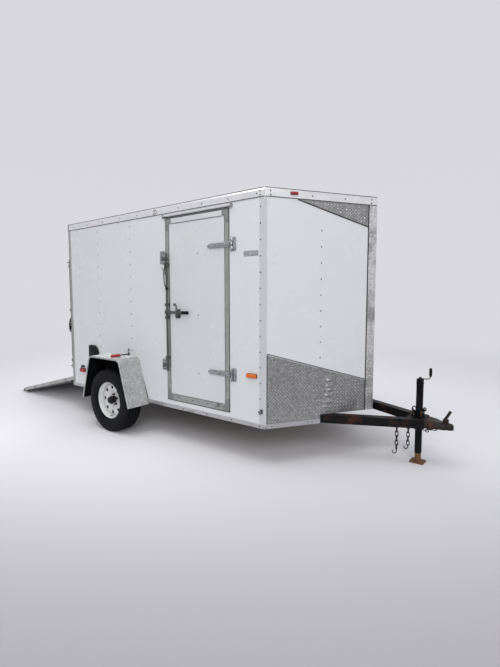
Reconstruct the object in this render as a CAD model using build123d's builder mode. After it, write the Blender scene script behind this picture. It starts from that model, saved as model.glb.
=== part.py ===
from build123d import *
from math import asin, atan2, cos, hypot, radians, sin, tan
import os

os.makedirs("parts", exist_ok=True)

# Enclosed cargo trailer with a V nose, one axle, a side door and a rear ramp.
# +X points forward, +Y to the left side, +Z up. Z = 0 is the ground. Millimetres.

# Body shell
BODY_WIDTH = 1828.8
SIDE_LENGTH = 3048.0
NOSE_DEPTH = 610.0
ROOF_HEIGHT = 2382.0
WALL_THICKNESS = 32.0
SKIN = 3.0
ROOF_PANEL = 38.0
BAY = 609.6

# Steel frame
FRAME_BOTTOM = 334.0
TUBE_HEIGHT = 76.2
TUBE_WALL = 4.8
RAIL_WIDTH = 50.8
CROSS_WIDTH = 38.1
FLOOR_THICKNESS = 19.0
POST_DEPTH = 60.0
POST_WIDTH = 84.0

# Tongue, coupler and jack
TONGUE_ANGLE = 25.0
TONGUE_MOUTH = 88.9
TONGUE_END = 1105.0
COUPLER_REACH = 1325.0
HEAD_RADIUS = 36.0
HEAD_BOTTOM = 342.0
HEAD_HEIGHT = 54.0
NECK_WIDTH = 168.0
SOCKET_RADIUS = 25.7
SOCKET_DEPTH = 20.0
PLATE_THICKNESS = 6.0
PLATE_REAR = 958.0
JACK_SETBACK = 1040.0
JACK_RADIUS = 30.0
JACK_WALL = 3.5
JACK_BOTTOM = 85.0
JACK_TOP = 728.0
JACK_CLEARANCE = 0.5
JACK_LEG_TOP = 520.0
FOOT_SIZE = 122.0
FOOT_THICKNESS = 8.0
CRANK_ARM = 85.0
CRANK_TOP = 855.0
LATCH_TOP = 501.0

# Wheels, axle and springs
WHEEL_FROM_REAR = 1133.0
TYRE_RADIUS = 344.0
TYRE_WIDTH = 205.0
WHEEL_OUT = 161.1
RIM_RADIUS = 198.0
RIM_HALF_WIDTH = 76.0
RIM_HOLES = 8
RIM_HOLE_RADIUS = 17.0
RIM_HOLE_CIRCLE = 152.0
HUB_RADIUS = 40.0
SPINDLE_RADIUS = 22.0
BEARING_GAP = 0.3
AXLE_RADIUS = 30.0
AXLE_DROP = 102.0
SPRING_SPAN = 660.0
SPRING_WIDTH = 44.0
LEAF_THICKNESS = 8.0
LEAF_SAG = 20.0
SPRING_INSET = 14.0

# Fenders
FENDER_BEHIND = 50.0
FENDER_DEPTH = 266.0
FENDER_TOP = 815.0
FENDER_TOP_LENGTH = 550.0
FENDER_FOOT_LENGTH = 860.0
FENDER_FOOT = 315.0
FENDER_SHEET = 4.0
FENDER_LIP = 18.0
FENDER_BEND = 70.0

# Aluminium trim
TRIM_SHEET = 4.0
TRIM_HEIGHT = 80.0
TRIM_RADIUS = 28.0
TRIM_TOP_LEG = 45.0
SEAM_GAP = 2.0
J_TRIM = 38.0
J_SHEET = 3.0
J_FLANGE = 12.0
CAP_LEG = 85.0
CAP_SHEET = 3.0
CORNER_LEG = 22.0
CORNER_SIDE_LEG = 52.0
CORNER_SHEET = 2.0
PLATE_SHEET = 2.0
GUARD_HEIGHT = 981.0
GUARD_NOSE_HEIGHT = 699.0
UPPER_PLATE_START = 302.0
UPPER_PLATE_DROP = 192.0

# Side door
DOOR_REAR = 1220.0
DOOR_WIDTH = 828.0
DOOR_TOP_DROP = 131.8
DOOR_GAP = 7.0
JAMB_SHEET = 4.0
DOOR_FRAME_WIDTH = 50.0
DOOR_FRAME_PROUD = 2.0
DOOR_RAIL_WIDTH = 64.0
HINGE_OUT = 12.0
HINGE_AHEAD = 39.0
HINGE_LENGTH = 118.0
HINGE_FROM_SILL = 348.8
HINGE_FROM_HEAD = 310.2
STRAP_LENGTH = 300.0
STRAP_THICKNESS = 5.0
KNUCKLE_RADIUS = 9.0
PIN_RADIUS = 5.0
KNUCKLE_GAP = 1.0
ROD_RADIUS = 10.0
ROD_OUT = 22.0
ROD_FROM_SILL = 293.8
ROD_FROM_HEAD = 340.2
HANDLE_HEIGHT = 1301.0
DRIP_DROP = 22.0

# Rear ramp
RAMP_HINGE_HEIGHT = 400.0
RAMP_HINGE_OUT = 10.0
HEADER_DEPTH = 233.0
RAMP_THICKNESS = 46.0
RAMP_SIDE_GAP = 6.0
RAMP_TOP_GAP = 7.0
RAMP_START = 22.0
RAMP_LIP = 90.0
RAMP_CHANNEL = 50.0
RAMP_LIP_SHEET = 5.0
FLOOR_REST = 1.0

# Worked out places
HALF = BODY_WIDTH / 2
FRAME_TOP = FRAME_BOTTOM + TUBE_HEIGHT
FLOOR_TOP = FRAME_TOP + FLOOR_THICKNESS
ROOF_SKIN = ROOF_HEIGHT - TRIM_SHEET
WALL_TOP = ROOF_SKIN - ROOF_PANEL
TRIM_BOTTOM = ROOF_HEIGHT - TRIM_HEIGHT
HEADER_BOTTOM = WALL_TOP - HEADER_DEPTH
RAMP_LENGTH = HEADER_BOTTOM - RAMP_TOP_GAP - RAMP_HINGE_HEIGHT
RAMP_ANGLE = asin((RAMP_HINGE_HEIGHT - FLOOR_REST) / RAMP_LENGTH)
RAMP_REACH = RAMP_HINGE_OUT + RAMP_LENGTH * cos(RAMP_ANGLE) + RAMP_LIP_SHEET * sin(RAMP_ANGLE)
NOSE_X = (SIDE_LENGTH + RAMP_REACH - COUPLER_REACH) / 2
REAR_X = NOSE_X - SIDE_LENGTH
TIP_X = NOSE_X + NOSE_DEPTH
POST_FRONT = REAR_X + POST_DEPTH
POST_INNER = HALF - POST_WIDTH
RAIL_Y = HALF - SKIN - RAIL_WIDTH / 2
RAIL_INNER = RAIL_Y - RAIL_WIDTH / 2
WHEEL_X = REAR_X + WHEEL_FROM_REAR
WHEEL_TRACK_HALF = HALF + WHEEL_OUT
SPRING_Y = RAIL_Y - SPRING_INSET
NOSE_SLOPE = atan2(HALF, NOSE_DEPTH)
NOSE_PANEL = hypot(HALF, NOSE_DEPTH)
OUTER_CORNERS = [
    (REAR_X, -HALF),
    (NOSE_X, -HALF),
    (TIP_X, 0),
    (NOSE_X, HALF),
    (REAR_X, HALF),
]
nose_plane = Plane(
    origin=(NOSE_X, -HALF, 0),
    x_dir=(cos(NOSE_SLOPE), sin(NOSE_SLOPE), 0),
    z_dir=(sin(NOSE_SLOPE), -cos(NOSE_SLOPE), 0),
)


def crossing(start, direction, x):
    """The point of a plan line at a given x."""
    return (x, start[1] + (x - start[0]) * direction[1] / direction[0])


def meeting(start_a, direction_a, start_b, direction_b):
    """The point where two plan lines meet."""
    across = direction_a[0] * direction_b[1] - direction_a[1] * direction_b[0]
    gap = (start_b[0] - start_a[0], start_b[1] - start_a[1])
    along = (gap[0] * direction_b[1] - gap[1] * direction_b[0]) / across
    return (start_a[0] + along * direction_a[0], start_a[1] + along * direction_a[1])


# Plan outlines that the walls, floor, roof and trim share
with BuildSketch() as body_plan:
    with BuildLine():
        Polyline(OUTER_CORNERS, close=True)
    make_face()

with BuildSketch() as inside_plan:
    add(body_plan.sketch)
    offset(amount=-WALL_THICKNESS, kind=Kind.INTERSECTION, mode=Mode.REPLACE)

with BuildSketch() as skin_plan:
    add(body_plan.sketch)
    offset(amount=-SKIN, kind=Kind.INTERSECTION, mode=Mode.REPLACE)

# Steel frame rails under the side walls
with BuildPart() as frame_side_rails:
    with BuildSketch(Plane.YZ.offset(POST_FRONT)):
        with Locations((-RAIL_Y, FRAME_BOTTOM + TUBE_HEIGHT / 2)):
            Rectangle(RAIL_WIDTH, TUBE_HEIGHT)
            Rectangle(RAIL_WIDTH - 2 * TUBE_WALL, TUBE_HEIGHT - 2 * TUBE_WALL, mode=Mode.SUBTRACT)
    extrude(amount=NOSE_X - POST_FRONT)
    mirror(about=Plane.XZ)
frame_side_rails.part.label = "frame_side_rails"
export_step(frame_side_rails.part, "parts/frame_side_rails.step")

# Crossmembers, one to a bay, with the front one at the nose corners
FULL_BAYS = int(SIDE_LENGTH / BAY - 0.5)
CROSS_PLACES = [REAR_X + BAY * bay for bay in range(1, FULL_BAYS + 1)] + [NOSE_X - CROSS_WIDTH / 2]
with BuildPart() as frame_crossmembers:
    with BuildSketch(Plane.XZ.offset(-RAIL_INNER)):
        with Locations([(x, FRAME_BOTTOM + TUBE_HEIGHT / 2) for x in CROSS_PLACES]):
            Rectangle(CROSS_WIDTH, TUBE_HEIGHT)
            Rectangle(CROSS_WIDTH - 2 * TUBE_WALL, TUBE_HEIGHT - 2 * TUBE_WALL, mode=Mode.SUBTRACT)
    extrude(amount=2 * RAIL_INNER)
frame_crossmembers.part.label = "frame_crossmembers"
export_step(frame_crossmembers.part, "parts/frame_crossmembers.step")

# The tongue tubes run back from the coupler to the front crossmember; their outer faces pass the nose panels
TONGUE_RUN = (cos(radians(TONGUE_ANGLE)), sin(radians(TONGUE_ANGLE)))
TONGUE_SPREAD = TUBE_HEIGHT / 2 / TONGUE_RUN[0]
TONGUE_FRONT = NOSE_X + TONGUE_END
TONGUE_OUTER = meeting(
    (NOSE_X, -HALF), (cos(NOSE_SLOPE), sin(NOSE_SLOPE)), (TONGUE_FRONT, -TONGUE_MOUTH), TONGUE_RUN
)
TONGUE_ENTRY = hypot(TONGUE_OUTER[0] - NOSE_X, TONGUE_OUTER[1] + HALF)
TONGUE_MID = (TONGUE_OUTER[0], TONGUE_OUTER[1] + TONGUE_SPREAD)
TONGUE_INNER = (TONGUE_OUTER[0], TONGUE_OUTER[1] + 2 * TONGUE_SPREAD)
TONGUE_WALL_Y = TUBE_WALL / TONGUE_RUN[0]


def tongue_y(x):
    """Half the distance between the tongue tubes' centre lines at x."""
    return -crossing(TONGUE_MID, TONGUE_RUN, x)[1]


with BuildPart() as tongue_rails:
    for inset, depth in ((0, 0), (TONGUE_WALL_Y, TUBE_WALL)):
        outer_line = (TONGUE_OUTER[0], TONGUE_OUTER[1] + inset)
        inner_line = (TONGUE_INNER[0], TONGUE_INNER[1] - inset)
        with BuildSketch(Plane.XY.offset(FRAME_BOTTOM + depth)):
            with BuildLine():
                Polyline(
                    crossing(outer_line, TONGUE_RUN, NOSE_X),
                    crossing(outer_line, TONGUE_RUN, TONGUE_FRONT),
                    crossing(inner_line, TONGUE_RUN, TONGUE_FRONT),
                    crossing(inner_line, TONGUE_RUN, NOSE_X),
                    close=True,
                )
            make_face()
        extrude(amount=TUBE_HEIGHT - 2 * depth, mode=Mode.SUBTRACT if depth else Mode.ADD)
    mirror(about=Plane.XZ)
tongue_rails.part.label = "tongue_rails"
export_step(tongue_rails.part, "parts/tongue_rails.step")

# Short frame rails under the V nose, from the nose corners to the tongue tubes
NOSE_RUN = (cos(NOSE_SLOPE), sin(NOSE_SLOPE))
NOSE_INWARD = (-sin(NOSE_SLOPE), cos(NOSE_SLOPE))


def nose_line(depth):
    """A point of the plan line that runs along the right nose panel at a depth inside it."""
    return (NOSE_X + NOSE_INWARD[0] * depth, -HALF + NOSE_INWARD[1] * depth)


with BuildPart() as frame_nose_rails:
    with BuildSketch(Plane.XY.offset(FRAME_BOTTOM)):
        with BuildLine():
            Polyline(
                crossing(nose_line(SKIN), NOSE_RUN, NOSE_X),
                meeting(nose_line(SKIN), NOSE_RUN, TONGUE_OUTER, TONGUE_RUN),
                meeting(nose_line(SKIN + RAIL_WIDTH), NOSE_RUN, TONGUE_OUTER, TONGUE_RUN),
                crossing(nose_line(SKIN + RAIL_WIDTH), NOSE_RUN, NOSE_X),
                close=True,
            )
        make_face()
    extrude(amount=TUBE_HEIGHT)
    mirror(about=Plane.XZ)
frame_nose_rails.part.label = "frame_nose_rails"
export_step(frame_nose_rails.part, "parts/frame_nose_rails.step")

# Plywood floor inside the walls, from the rear posts to the nose
with BuildPart() as floor:
    with BuildSketch(Plane.XY.offset(FRAME_TOP)):
        add(inside_plan.sketch)
        with Locations((POST_FRONT, 0)):
            Rectangle(
                SIDE_LENGTH + NOSE_DEPTH, BODY_WIDTH, align=(Align.MIN, Align.CENTER), mode=Mode.INTERSECT
            )
    extrude(amount=FLOOR_THICKNESS)
floor.part.label = "floor"
export_step(floor.part, "parts/floor.step")

# Side walls: posts and lining are one thickness, and the skin laps down over the frame rail
DOOR_LOW = FRAME_TOP + JAMB_SHEET + DOOR_GAP
DOOR_HIGH = ROOF_HEIGHT - DOOR_TOP_DROP
DOOR_HEIGHT = DOOR_HIGH - DOOR_LOW
DOOR_BACK = NOSE_X - DOOR_REAR
DOOR_FRONT = DOOR_BACK + DOOR_WIDTH
DOOR_MID = (DOOR_BACK + DOOR_FRONT) / 2
DOOR_MID_Z = (DOOR_LOW + DOOR_HIGH) / 2
JAMB_REACH = DOOR_GAP + JAMB_SHEET

for side, sign in (("right", -1), ("left", 1)):
    with BuildPart() as side_wall:
        with BuildSketch(Plane.XY.offset(FRAME_TOP)):
            add(body_plan.sketch)
            add(inside_plan.sketch, mode=Mode.SUBTRACT)
            with Locations(((POST_FRONT + NOSE_X) / 2, sign * HALF)):
                Rectangle(NOSE_X - POST_FRONT, BODY_WIDTH / 2, mode=Mode.INTERSECT)
        extrude(amount=WALL_TOP - FRAME_TOP)
        with BuildSketch(Plane.XY.offset(FRAME_BOTTOM)):
            with Locations(((POST_FRONT + NOSE_X) / 2, sign * (HALF - SKIN / 2))):
                Rectangle(NOSE_X - POST_FRONT, SKIN)
        extrude(amount=TUBE_HEIGHT)
        if side == "right":
            with BuildSketch(Plane.XZ.offset(HALF + 1)):
                with Locations((DOOR_MID, DOOR_MID_Z)):
                    Rectangle(DOOR_WIDTH + 2 * JAMB_REACH, DOOR_HEIGHT + 2 * JAMB_REACH)
            extrude(amount=-WALL_THICKNESS - 2, mode=Mode.SUBTRACT)
    side_wall.part.label = f"side_wall_{side}"
    export_step(side_wall.part, f"parts/side_wall_{side}.step")

# Nose walls: two flat panels that meet at the tip, with a skin skirt as far as the tongue tubes
SKIRT_END = meeting(nose_line(SKIN), NOSE_RUN, TONGUE_OUTER, TONGUE_RUN)[0]
for side, sign in (("right", -1), ("left", 1)):
    with BuildPart() as nose_wall:
        with BuildSketch(Plane.XY.offset(FRAME_TOP)):
            add(body_plan.sketch)
            add(inside_plan.sketch, mode=Mode.SUBTRACT)
            with Locations((NOSE_X, 0)):
                Rectangle(
                    NOSE_DEPTH,
                    BODY_WIDTH,
                    align=(Align.MIN, Align.MAX if sign < 0 else Align.MIN),
                    mode=Mode.INTERSECT,
                )
        extrude(amount=WALL_TOP - FRAME_TOP)
        with BuildSketch(Plane.XY.offset(FRAME_BOTTOM)):
            add(body_plan.sketch)
            add(skin_plan.sketch, mode=Mode.SUBTRACT)
            with Locations((NOSE_X, sign * HALF)):
                Rectangle(SKIRT_END - NOSE_X, BODY_WIDTH, align=(Align.MIN, Align.CENTER), mode=Mode.INTERSECT)
        extrude(amount=TUBE_HEIGHT)
    nose_wall.part.label = f"nose_wall_{side}"
    export_step(nose_wall.part, f"parts/nose_wall_{side}.step")

# Roof panel with rounded edges under the trim
with BuildPart() as roof:
    with BuildSketch(Plane.XY.offset(WALL_TOP)):
        add(body_plan.sketch)
    extrude(amount=ROOF_PANEL)
    fillet(roof.faces().sort_by(Axis.Z)[-1].edges(), radius=TRIM_RADIUS - TRIM_SHEET)
roof.part.label = "roof"
export_step(roof.part, "parts/roof.step")

# Roof trim: a rounded cove round the whole roof edge, in lengths with a seam between them
SEAMS_FROM_REAR = (658.0, 1668.0)
SEAM_PLACES = [REAR_X + place for place in SEAMS_FROM_REAR] + [NOSE_X]
REAR_SEAM_Y = HALF - 60
with BuildPart() as roof_trim:
    with BuildSketch(Plane.XY.offset(TRIM_BOTTOM)):
        add(body_plan.sketch)
        offset(amount=TRIM_SHEET, kind=Kind.INTERSECTION, mode=Mode.REPLACE)
    extrude(amount=ROOF_HEIGHT - TRIM_BOTTOM)
    fillet(roof_trim.faces().sort_by(Axis.Z)[-1].edges(), radius=TRIM_RADIUS)
    with BuildSketch(Plane.XY.offset(TRIM_BOTTOM)):
        add(body_plan.sketch)
    extrude(amount=WALL_TOP - TRIM_BOTTOM, mode=Mode.SUBTRACT)
    add(roof.part, mode=Mode.SUBTRACT)
    with BuildSketch(Plane.XY.offset(ROOF_SKIN - 1)):
        add(body_plan.sketch)
        offset(amount=-TRIM_TOP_LEG, kind=Kind.INTERSECTION, mode=Mode.REPLACE)
    extrude(amount=TRIM_SHEET + 2, mode=Mode.SUBTRACT)
    with BuildSketch(Plane.XY.offset(TRIM_BOTTOM - 1)):
        with Locations([(x, 0) for x in SEAM_PLACES]):
            Rectangle(SEAM_GAP, BODY_WIDTH + 100)
        with Locations((TIP_X, 0)):
            Rectangle(NOSE_DEPTH, SEAM_GAP)
        with Locations((REAR_X, REAR_SEAM_Y), (REAR_X, -REAR_SEAM_Y)):
            Rectangle(4 * TRIM_TOP_LEG, SEAM_GAP)
    extrude(amount=ROOF_HEIGHT - TRIM_BOTTOM + 2, mode=Mode.SUBTRACT)
roof_trim.part.label = "roof_trim"
export_step(roof_trim.part, "parts/roof_trim.step")

# Bottom J trim along the sides and the first stretch of the nose
J_BOTTOM = FRAME_BOTTOM - J_SHEET
FLANGE_START = J_FLANGE * tan(NOSE_SLOPE) + SEAM_GAP
with BuildPart() as bottom_trim:
    with BuildSketch(Plane.YZ.offset(REAR_X)):
        with Locations((-HALF - J_SHEET, J_BOTTOM)):
            Rectangle(J_SHEET, J_TRIM, align=Align.MIN)
            Rectangle(J_SHEET + J_FLANGE, J_SHEET, align=Align.MIN)
    extrude(amount=SIDE_LENGTH - SEAM_GAP)
    with BuildSketch(nose_plane):
        with Locations((SEAM_GAP, J_BOTTOM)):
            Rectangle(TONGUE_ENTRY - SEAM_GAP, J_TRIM, align=Align.MIN)
    extrude(amount=J_SHEET)
    with BuildSketch(nose_plane):
        with Locations((FLANGE_START, J_BOTTOM)):
            Rectangle(TONGUE_ENTRY - FLANGE_START, J_SHEET, align=Align.MIN)
    extrude(amount=-J_FLANGE)
    mirror(about=Plane.XZ)
bottom_trim.part.label = "bottom_trim"
export_step(bottom_trim.part, "parts/bottom_trim.step")

# Diamond plate cap folded over the nose tip
with BuildPart() as nose_cap:
    with BuildSketch(Plane.XY.offset(FRAME_TOP)):
        add(body_plan.sketch)
        offset(amount=CAP_SHEET, kind=Kind.INTERSECTION, mode=Mode.REPLACE)
        add(body_plan.sketch, mode=Mode.SUBTRACT)
        with Locations((TIP_X - CAP_LEG * cos(NOSE_SLOPE), 0)):
            Rectangle(CAP_LEG, BODY_WIDTH, align=(Align.MIN, Align.CENTER), mode=Mode.INTERSECT)
    extrude(amount=TRIM_BOTTOM - FRAME_TOP)
nose_cap.part.label = "nose_cap"
export_step(nose_cap.part, "parts/nose_cap.step")

# White strips over the nose corners
with BuildPart() as corner_strips:
    with BuildSketch(Plane.XY.offset(J_BOTTOM + J_TRIM)):
        add(body_plan.sketch)
        offset(amount=CORNER_SHEET, kind=Kind.INTERSECTION, mode=Mode.REPLACE)
        add(body_plan.sketch, mode=Mode.SUBTRACT)
        with Locations((NOSE_X - CORNER_SIDE_LEG, 0)):
            Rectangle(
                CORNER_SIDE_LEG + CORNER_LEG * cos(NOSE_SLOPE),
                2 * BODY_WIDTH,
                align=(Align.MIN, Align.CENTER),
                mode=Mode.INTERSECT,
            )
    extrude(amount=TRIM_BOTTOM - J_BOTTOM - J_TRIM)
corner_strips.part.label = "corner_strips"
export_step(corner_strips.part, "parts/corner_strips.step")

# Diamond plates on the nose panels: the stone guards and the slanted upper plates
PLATE_START = CORNER_LEG + SEAM_GAP
PLATE_FINISH = NOSE_PANEL - CAP_LEG - 2 * SEAM_GAP
GUARD_BOTTOM = J_BOTTOM + J_TRIM + SEAM_GAP
with BuildPart() as nose_plates:
    with BuildSketch(nose_plane):
        with BuildLine():
            Polyline(
                (PLATE_START, GUARD_BOTTOM),
                (TONGUE_ENTRY, GUARD_BOTTOM),
                (TONGUE_ENTRY, FRAME_TOP),
                (PLATE_FINISH, FRAME_TOP),
                (PLATE_FINISH, GUARD_NOSE_HEIGHT),
                (PLATE_START, GUARD_HEIGHT),
                close=True,
            )
        make_face()
        with BuildLine():
            Polyline(
                (UPPER_PLATE_START, TRIM_BOTTOM),
                (PLATE_FINISH, TRIM_BOTTOM),
                (PLATE_FINISH, TRIM_BOTTOM - UPPER_PLATE_DROP),
                close=True,
            )
        make_face()
    extrude(amount=PLATE_SHEET)
    mirror(about=Plane.XZ)
nose_plates.part.label = "nose_plates"
export_step(nose_plates.part, "parts/nose_plates.step")

# Rear frame: two posts, a header over the ramp and a sill under it
SILL_LIP = 14.0
with BuildPart() as rear_posts:
    with BuildSketch(Plane.XY.offset(FRAME_BOTTOM)):
        with Locations((REAR_X, -HALF)):
            Rectangle(POST_DEPTH, POST_WIDTH, align=Align.MIN)
    extrude(amount=WALL_TOP - FRAME_BOTTOM)
    mirror(about=Plane.XZ)
rear_posts.part.label = "rear_posts"
export_step(rear_posts.part, "parts/rear_posts.step")

with BuildPart() as rear_header:
    with BuildSketch(Plane.XY.offset(HEADER_BOTTOM)):
        with Locations((REAR_X, 0)):
            Rectangle(POST_DEPTH, 2 * POST_INNER, align=(Align.MIN, Align.CENTER))
    extrude(amount=WALL_TOP - HEADER_BOTTOM)
rear_header.part.label = "rear_header"
export_step(rear_header.part, "parts/rear_header.step")

with BuildPart() as rear_sill:
    with BuildSketch(Plane.XZ.offset(-POST_INNER)):
        with BuildLine():
            Polyline(
                (REAR_X, FRAME_BOTTOM),
                (POST_FRONT, FRAME_BOTTOM),
                (POST_FRONT, FLOOR_TOP),
                (POST_FRONT - SILL_LIP, FLOOR_TOP),
                (POST_FRONT - SILL_LIP, FRAME_TOP),
                (REAR_X, FRAME_TOP),
                close=True,
            )
        make_face()
    extrude(amount=2 * POST_INNER)
rear_sill.part.label = "rear_sill"
export_step(rear_sill.part, "parts/rear_sill.step")

# Ramp, drawn flat in its own plane: local x runs from the hinge to the tip, local z is its upper face
HINGE_X = REAR_X - RAMP_HINGE_OUT
RAMP_HALF = POST_INNER - RAMP_SIDE_GAP
PANEL_END = RAMP_LENGTH - RAMP_LIP
ramp_plane = Plane(
    origin=(HINGE_X, 0, RAMP_HINGE_HEIGHT),
    x_dir=(-cos(RAMP_ANGLE), 0, -sin(RAMP_ANGLE)),
    z_dir=(-sin(RAMP_ANGLE), 0, cos(RAMP_ANGLE)),
)
ramp_side_plane = Plane(
    origin=(HINGE_X, 0, RAMP_HINGE_HEIGHT),
    x_dir=(-cos(RAMP_ANGLE), 0, -sin(RAMP_ANGLE)),
    z_dir=(0, 1, 0),
)
with BuildPart() as ramp_frame:
    with BuildSketch(ramp_plane):
        with Locations(((RAMP_START + PANEL_END) / 2, 0)):
            Rectangle(PANEL_END - RAMP_START, 2 * RAMP_HALF)
            Rectangle(
                PANEL_END - RAMP_START - 2 * RAMP_CHANNEL, 2 * (RAMP_HALF - RAMP_CHANNEL), mode=Mode.SUBTRACT
            )
    extrude(amount=RAMP_THICKNESS)
ramp_frame.part.label = "ramp_frame"
export_step(ramp_frame.part, "parts/ramp_frame.step")

RAMP_PANEL_INSET = 3.0
with BuildPart() as ramp_panel:
    with BuildSketch(ramp_plane.offset(RAMP_PANEL_INSET)):
        with Locations(((RAMP_START + PANEL_END) / 2, 0)):
            Rectangle(PANEL_END - RAMP_START - 2 * RAMP_CHANNEL, 2 * (RAMP_HALF - RAMP_CHANNEL))
    extrude(amount=RAMP_THICKNESS - 2 * RAMP_PANEL_INSET)
ramp_panel.part.label = "ramp_panel"
export_step(ramp_panel.part, "parts/ramp_panel.step")

# Folded lip from the ramp's upper face down to the ground
with BuildPart() as ramp_lip:
    with BuildSketch(Plane(ramp_plane.origin, x_dir=ramp_plane.x_dir, z_dir=ramp_plane.y_dir)):
        with BuildLine():
            Polyline(
                (PANEL_END, -RAMP_THICKNESS),
                (PANEL_END + RAMP_LIP_SHEET, -RAMP_THICKNESS),
                (RAMP_LENGTH, -RAMP_LIP_SHEET),
                (RAMP_LENGTH, 0),
                (RAMP_LENGTH - RAMP_LIP_SHEET, 0),
                (PANEL_END, RAMP_LIP_SHEET - RAMP_THICKNESS),
                close=True,
            )
        make_face()
    extrude(amount=RAMP_HALF, both=True)
ramp_lip.part.label = "ramp_lip"
export_step(ramp_lip.part, "parts/ramp_lip.step")

# Ramp hinge stations across the sill: each has one ramp knuckle between two sill knuckles
STATION_INSET = 230.4
RAMP_STATIONS = (STATION_INSET - POST_INNER, 0, POST_INNER - STATION_INSET)
RAMP_KNUCKLE = 80.0
SILL_KNUCKLE = 60.0
RAMP_KNUCKLE_RADIUS = 9.0
HINGE_LEAF = 60.0
HINGE_LEAF_SHEET = 4.0
SILL_LEAF_SHEET = 3.0
SILL_LEAF_HEIGHT = 50.0
RAMP_PIN_RADIUS = 5.0
KNUCKLE_SIDES = 12
PIN_SIDES = 8
RAMP_KEEPERS = (175.0, RAMP_LENGTH - 185.0)
KEEPER_PLATE = (60.0, 70.0, 4.0)
KEEPER_STUB = (20.0, 50.0, 12.0)
KEEPER_REACH = 30.0
with BuildPart() as ramp_hardware:
    with BuildSketch(Plane.XZ):
        with Locations((HINGE_X, RAMP_HINGE_HEIGHT)):
            RegularPolygon(RAMP_KNUCKLE_RADIUS, KNUCKLE_SIDES)
    extrude(amount=RAMP_KNUCKLE / 2, both=True)
    with BuildSketch(ramp_plane):
        Rectangle(HINGE_LEAF, RAMP_KNUCKLE, align=(Align.MIN, Align.CENTER))
    extrude(amount=-HINGE_LEAF_SHEET)
    with BuildSketch(Plane.XZ):
        with Locations((HINGE_X, RAMP_HINGE_HEIGHT)):
            RegularPolygon(RAMP_PIN_RADIUS + BEARING_GAP, KNUCKLE_SIDES, major_radius=False)
    extrude(amount=RAMP_KNUCKLE, both=True, mode=Mode.SUBTRACT)
with BuildPart() as ramp_keeper:
    with BuildSketch(ramp_plane):
        with Locations([(place, RAMP_HALF - KEEPER_PLATE[1] / 2) for place in RAMP_KEEPERS]):
            Rectangle(KEEPER_PLATE[0], KEEPER_PLATE[1])
    extrude(amount=-KEEPER_PLATE[2])
    with BuildSketch(ramp_plane.offset(-KEEPER_PLATE[2])):
        with Locations([(place, RAMP_HALF + KEEPER_REACH - KEEPER_STUB[1] / 2) for place in RAMP_KEEPERS]):
            Rectangle(KEEPER_STUB[0], KEEPER_STUB[1])
    extrude(amount=-KEEPER_STUB[2])
    mirror(about=Plane.XZ)
with BuildPart() as ramp_fittings:
    with Locations([(0, y, 0) for y in RAMP_STATIONS]):
        add(ramp_hardware.part)
    add(ramp_keeper.part)
ramp_fittings.part.label = "ramp_fittings"
export_step(ramp_fittings.part, "parts/ramp_fittings.step")

# Sill knuckles carry the ramp's hinge pins
with BuildPart() as sill_knuckle_set:
    with BuildSketch(Plane.XZ):
        with Locations((HINGE_X, RAMP_HINGE_HEIGHT)):
            RegularPolygon(RAMP_KNUCKLE_RADIUS, KNUCKLE_SIDES)
        with Locations((REAR_X, RAMP_HINGE_HEIGHT)):
            Rectangle(SILL_LEAF_SHEET, SILL_LEAF_HEIGHT, align=Align.MAX)
    extrude(amount=RAMP_KNUCKLE / 2 + KNUCKLE_GAP + SILL_KNUCKLE, both=True)
    with BuildSketch(Plane.XZ):
        with Locations((HINGE_X, RAMP_HINGE_HEIGHT)):
            Rectangle(4 * RAMP_KNUCKLE_RADIUS, 4 * SILL_LEAF_HEIGHT)
    extrude(amount=RAMP_KNUCKLE / 2 + KNUCKLE_GAP, both=True, mode=Mode.SUBTRACT)
    with BuildSketch(Plane.XZ):
        with Locations((HINGE_X, RAMP_HINGE_HEIGHT)):
            RegularPolygon(RAMP_PIN_RADIUS, PIN_SIDES)
    extrude(amount=RAMP_KNUCKLE / 2 + KNUCKLE_GAP, both=True)
with BuildPart() as sill_knuckles:
    with Locations([(0, y, 0) for y in RAMP_STATIONS]):
        add(sill_knuckle_set.part)
sill_knuckles.part.label = "sill_knuckles"
export_step(sill_knuckles.part, "parts/sill_knuckles.step")

# Steel plate over the front of the tongue tubes, with a hole for the jack
JACK_X = NOSE_X + JACK_SETBACK
with BuildPart() as tongue_plate:
    with BuildSketch(Plane.XY.offset(FRAME_TOP)):
        with BuildLine():
            Polyline(
                crossing(TONGUE_OUTER, TONGUE_RUN, NOSE_X + PLATE_REAR),
                crossing(TONGUE_OUTER, TONGUE_RUN, TONGUE_FRONT),
                (TONGUE_FRONT, 0),
                (NOSE_X + PLATE_REAR, 0),
                close=True,
            )
        make_face()
        mirror(about=Plane.XZ)
        with Locations((JACK_X, 0)):
            Circle(JACK_RADIUS + BEARING_GAP, mode=Mode.SUBTRACT)
    extrude(amount=PLATE_THICKNESS)
tongue_plate.part.label = "tongue_plate"
export_step(tongue_plate.part, "parts/tongue_plate.step")

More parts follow.
